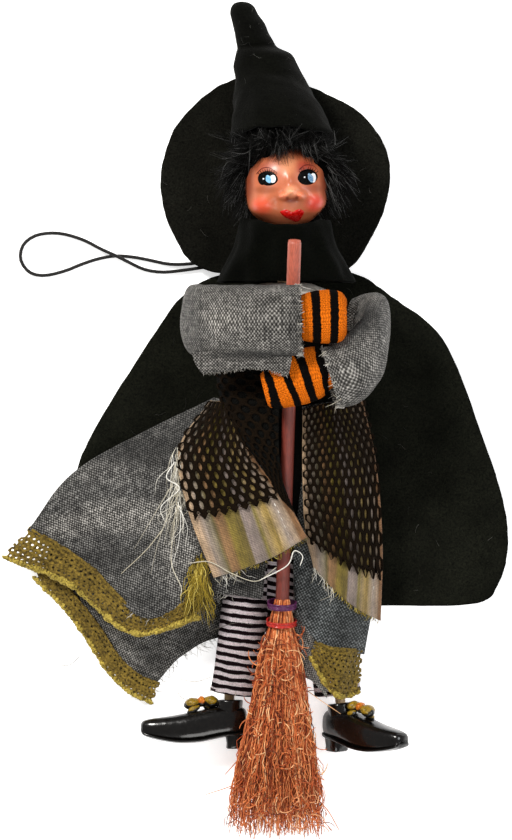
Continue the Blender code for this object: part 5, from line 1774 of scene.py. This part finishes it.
def broom():
    top, end = on_stick(52.6), on_stick(-66.0)
    rings = []
    along = (end - top).normalized()
    side = along.cross(UP).normalized()
    for n in range(121):
        at = top.lerp(end, n / 120)
        r = 1.97 * (0.9 if n in (0, 120) else 1.0) * (1 + 0.015 * wobble(at, 6.0))
        rings.append(oval(at, side, along.cross(side), r, r, 32))
    stick = tube_piece("broom_stick_painted", rings, STICK_LOOK)
    place(stick, "broom", "stick_wood", ["broom_stick"])

    draw = random.Random("broom fibre")
    paths = []
    for _ in range(1700):
        angle = draw.uniform(0, TAU)
        kinks = [jolt(draw, 1, 0.8, 0.8) for _ in range(FIBRE_POINTS)]
        share = math.sqrt(draw.random())
        stop = draw.uniform(0.72, 1.0) if draw.random() < 0.75 else draw.uniform(0.3, 0.8)
        waves = draw.uniform(1.5, 5.0)
        phase, second = draw.uniform(0, TAU), draw.uniform(0, TAU)
        swing = draw.uniform(0.15, 0.95)
        c, s = angled(angle)
        path = []
        for k in range(FIBRE_POINTS):
            t = k / (FIBRE_POINTS - 1) * stop
            y = lerp(-53.0, -123.6, t)
            row = next((i for i in range(len(BRISTLES) - 1) if BRISTLES[i + 1][0] <= y), len(BRISTLES) - 2)
            a, b = BRISTLES[row], BRISTLES[row + 1]
            f = (a[0] - y) / (a[0] - b[0])
            x, z, w, h = (lerp(a[m], b[m], f) for m in (1, 2, 3, 4))
            near = 0.55 + 0.45 * min(1.0, t * 6)
            w *= 0.66 + 0.34 * min(1.0, t * 12)
            reach = min(0.98, share * (1.04 - 0.1 * t)) if t > 0.12 else max(share, 0.7)
            ripple = swing * t * 1.6
            at = Vector((x + c * w * reach * 0.97, y, z + s * h * reach * near))
            at.x += math.sin(waves * t * TAU + phase) * ripple
            at.z += math.cos(waves * t * TAU + second) * ripple * 0.6
            at.y += math.sin(waves * 1.3 * t * TAU + second) * ripple * 0.4
            at += kinks[k] * (0.1 + 0.5 * t) * (0.3 + swing) * min(1.0, t * 8)
            at.y = max(at.y, FIBRE_END)
            at.z = max(at.z, 0.4)
            path.append(at)
        paths.append(path)
    # Broken and curled fibres that lie across the rest or stick out at the sides
    for _ in range(330):
        y = draw.uniform(-63, -121)
        spread = (-y - 52) / 70
        aside = draw.uniform(-0.95, 0.95)
        high = 17.0 - 6.0 * spread**2 + (5.0 + 3.5 * spread) * math.sqrt(1 - aside**2)
        start = Vector((6.8 + aside * (3.5 + 12.5 * spread), y, high + draw.uniform(-0.4, 0.9)))
        turn, size = draw.uniform(0, TAU), draw.uniform(1.2, 4.0)
        arc = draw.uniform(0.6, 1.9) * draw.choice((-1, 1))
        curl = []
        for k in range(9):
            a = turn + arc * k / 8
            curl.append(
                start + Vector(
                    (math.cos(a) - math.cos(turn), math.sin(a) - math.sin(turn), 0.25 * math.sin(k))
                ) * size
            )
        for at in curl:
            at.y = max(at.y, FIBRE_END)
        paths.append(curl)
    for _ in range(70):
        y = draw.uniform(-62, -118)
        spread = (-y - 55) / 68
        start = Vector((6.8 + draw.uniform(-12, 12) * spread, y + 6, 14.0 + draw.uniform(-3, 7)))
        aim = Vector((draw.gauss(0, 0.5) + (start.x - 6.8) * 0.06, -1, draw.gauss(0, 0.15)))
        reach = draw.uniform(4, 12)
        middle = start + aim * reach / 2 + Vector((draw.gauss(0, 1), 0, 0))
        far = start + aim * reach + Vector((draw.gauss(0, 2), draw.gauss(0, 1.5), 0))
        far.y, far.z = max(far.y, FIBRE_END), max(far.z, 0.5)
        paths.append(spline([start, middle, far], 9))
    fibres = strands("broom_fibres", paths, 0.17, FIBRE_LOOK, sides=4, tip=0.6)
    place(fibres, "broom", "fibre", ["broom_bristles"])
    inner = [(y, x, z, w * 0.72, h * 0.72) for y, x, z, w, h in BRISTLES[1:-1]]
    core = tube_piece(
        "broom_core", body_rings(inner, 0.0, 40, 60, lambda a, y: 0.35 * wobble((a * 5, y / 9, 0), 1.0)),
        CORE_LOOK
    )
    place(core, "broom", "fibre")

    for name, y, look, turns, reach in (
        ("upper", -54.6, PURPLE_LOOK, 5.2, 4.1), ("lower", -59.8, RED_LOOK, 4.2, 4.25)
    ):
        centre = on_stick(y)
        points = []
        steps = int(turns * 26)
        for n in range(steps + 1):
            angle = TAU * turns * n / steps
            offset = (
                side * math.cos(angle) + along.cross(side) * math.sin(angle)
            ) * (reach + 0.12 * math.sin(angle * 0.37))
            points.append(centre + offset + along * (n / steps - 0.5) * turns * 0.36)
        tie = pipe(f"broom_tie_{name}_wound", points, 0.26, look)
        place(tie, "broom", "tie_wire", [f"broom_tie_{name}"])


CORE_LOOK = spun("broom_core_fibre", srgb(96, 34, 14), srgb(196, 96, 48), 0.5, 0.4)
broom()


# ---------------------------------------------------------------- legs and shoes

LEGS = {
    "right": (
        (0.4, -24.0, 10.6), (-1.6, -38.0, 9.6), (-3.0, -52.0, 8.6), (-4.8, -68.0, 7.2), (-6.7, -81.4, 6.0)
    ),
    "left": (
        (16.1, -25.3, 10.5), (18.4, -38.0, 9.6), (20.4, -52.0, 8.8), (22.4, -68.0, 7.6), (24.2, -81.4, 6.2)
    )
}
LEG_SIZES = (6.0, 6.8, 6.9, 6.9, 6.9), (4.8, 4.9, 4.8, 4.7, 4.4)
ANKLES = {"right": (-7.9, -84.3, 5.2), "left": (25.2, -85.2, 6.85)}
LEFT_LEG_LEAN, LEFT_SHOE_ROLL, LEFT_SHOE_DROOP = 6.0, -46.0, -9.0
SHOE = (
    # along the foot, sole, instep, half width
    (-5.3, -7.2, -3.2, 1.6),
    (-4.6, -9.0, -1.4, 3.2),
    (-2.4, -9.6, -0.7, 4.1),
    (1.0, -9.9, -0.7, 4.6),
    (5.0, -10.7, -1.0, 4.8),
    (8.5, -11.4, -1.8, 4.9),
    (12.5, -11.7, -2.6, 4.9),
    (16.0, -11.6, -3.3, 4.6),
    (20.0, -11.0, -3.9, 4.1),
    (23.5, -10.2, -4.4, 3.4),
    (25.6, -9.4, -5.0, 2.6),
    (26.3, -8.4, -5.8, 1.6),
)


def shoe_place(side):
    """Where a shoe lies: rolled about the leg, turned in the surface's plane, and drooping."""
    mirrored = side == "right"
    turn, roll, droop = (0.0, 0.0, 0.0) if mirrored else (LEFT_LEG_LEAN, LEFT_SHOE_ROLL, LEFT_SHOE_DROOP)
    flip = Matrix.Rotation(math.pi, 4, "Y") if mirrored else Matrix.Identity(4)
    return (
        Matrix.Translation(Vector(ANKLES[side]))
        @ Matrix.Rotation(math.radians(turn), 4, "Z")
        @ Matrix.Rotation(math.radians(roll), 4, "Y")
        @ flip
        @ Matrix.Rotation(math.radians(droop), 4, "Z")
    )


def moved(rings, where):
    return [[where @ p for p in ring] for ring in rings]


def shoe(side):
    where = shoe_place(side)
    body = f"foot_{side}"
    xs = spline([(x, low, high) for x, low, high, _ in SHOE], 60)
    wides = spline([(w, 0, 0) for *_, w in SHOE], 60)
    rings = []
    for p, w in zip(xs, wides):
        x, low, high = p
        rings.append(oval((x, (low + high) / 2, 0), (0, 1, 0), (0, 0, 1), (high - low) / 2, w.x, 40, 2.7))
    parts = [tube_piece(f"shoe_{side}_foot", moved(rings, where), SHOE_LOOK)]

    welt = []
    for p, w in zip(xs[5:], wides[5:]):
        x, low, high = p
        welt.append(oval((x, low + 0.75, 0), (0, 1, 0), (0, 0, 1), 0.55, w.x + 0.25, 36, 3.2))
    parts.append(tube_piece(f"shoe_{side}_sole", moved(welt, where), SHOE_LOOK))

    heel = []
    for y, half_x, half_z in (
        (-7.6, 3.1, 3.2), (-9.6, 2.9, 3.1), (-11.6, 2.6, 2.9), (-13.0, 2.7, 3.0), (-13.3, 2.4, 2.7)
    ):
        heel.append(oval((-1.7, y, 0), (1, 0, 0), (0, 0, 1), half_x, half_z, 36, 4.0))
    parts.append(tube_piece(f"shoe_{side}_heel", moved(heel, where), SHOE_LOOK))

    collar_rings = []
    for y, r in ((-4.4, 3.9), (-2.4, 4.0), (-0.8, 3.9), (0.6, 4.05), (1.1, 4.0), (1.25, 3.6)):
        collar_rings.append(oval((0, y, 0), (1, 0, 0), (0, 0, 1), r, r, 40))
    level = Matrix.Rotation(math.radians(-LEFT_SHOE_DROOP), 4, "Z")
    straight = where if side == "right" else where @ level
    parts.append(tube_piece(f"shoe_{side}_cuff", moved(collar_rings, straight), SHOE_LOOK))
    for n, part in enumerate(parts):
        place(part, body, "shoe_plastic", [f"shoe_{side}"] if n == 0 else ())

    # The bow: two loops, two tails and a knot, each with a black edge under it
    loops = (
        ("loop_back", (5.6, 0.9, 0.0), (2.3, 1.5, 2.3), 0.3),
        ("loop_front", (10.9, 0.3, 0.0), (2.4, 1.5, 2.4), -0.35),
        ("tail_back", (6.2, -1.0, 1.6), (1.8, 0.8, 1.2), 0.9),
        ("tail_front", (10.6, -1.4, -1.4), (1.9, 0.8, 1.2), -0.9),
        ("knot", (8.3, 0.9, 0.0), (1.25, 1.3, 1.7), 0.0)
    )
    for n, (name, centre, radii, lean) in enumerate(loops):
        for edge in (True, False):
            grow, drop, squash = (1.12, -0.35, 0.8) if edge else (1.0, 0.1, 1.0)
            rows = []
            for directions in globe(28, 16):
                row = []
                for d in directions:
                    d = Vector((d.z, d.y, d.x))
                    pinch = 1 - 0.35 * max(
                        0.0, d.x * math.copysign(1, 8.3 - centre[0])
                    ) if "knot" != name else 1
                    deep = radii[2] * squash
                    p = Vector((d.x * radii[0] * grow, d.y * radii[1] * pinch * grow, d.z * deep * pinch))
                    p += d * 0.18 * wobble(d * 2.2 + Vector((n, 0, 0)), 1.0)
                    p = Matrix.Rotation(lean * 0.5, 4, "Z") @ p
                    row.append(where @ (Vector(centre) + p + Vector((0, drop, 0))))
                rows.append(row)
            look = BOW_EDGE_LOOK if edge else (BOW_CENTRE_LOOK if name == "knot" else BOW_LOOK)
            lump = grid_piece(f"bow_{side}_{name}{'_edge' if edge else ''}", rows, look, wrap=True)
            faces_out(lump)
            place(lump, body, "bow_paint", [f"shoe_bow_{side}"] if n == 0 and not edge else ())


def legs():
    for side, path in LEGS.items():
        rings = rings_along(path, *LEG_SIZES, (1, 0, 0), 64, 110)
        rings = creased(rings, 0.22, 3.0, 1.7 if side == "right" else 0.4)
        legging = tube_piece(f"legging_{side}_cloth", rings, LEGGING_LOOK)
        pressed(legging, 0.3, remesh=False)
        place(legging, f"leg_{side}", "striped", [f"legging_{side}"])
        hem = [[q + Vector((0, drop, 0)) for q in rings[-1]] for drop in (1.1, 0.8, 0.5, 0.4)]
        place(
            tube_piece(f"legging_{side}_hem", hem, LEGGING_HEM_LOOK, 0.5, closed=False), f"leg_{side}",
            "striped"
        )
        snags = end_fray(
            f"legging_{side}_fray", rings[-1], (0, -1, 0), PALE_FRAY_LOOK, 8, 0.3, side + "hem", 0.07
        )
        place(snags, f"leg_{side}", "striped")
        shoe(side)


legs()


# ---------------------------------------------------------------- what the frame keeps, and the end


def carried_over():
    """The frame's own pieces that stay: the wooden peg and dowels, and the arms' wires."""
    for name, look in (
        ("neck_peg", PALE_WOOD_LOOK), ("leg_dowel_right", PALE_WOOD_LOOK), ("leg_dowel_left", PALE_WOOD_LOOK),
        ("arm_wire_right", WIRE_LOOK), ("arm_wire_left", WIRE_LOOK)
    ):
        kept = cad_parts[name]
        kept.data.materials.clear()
        kept.data.materials.append(look)


carried_over()
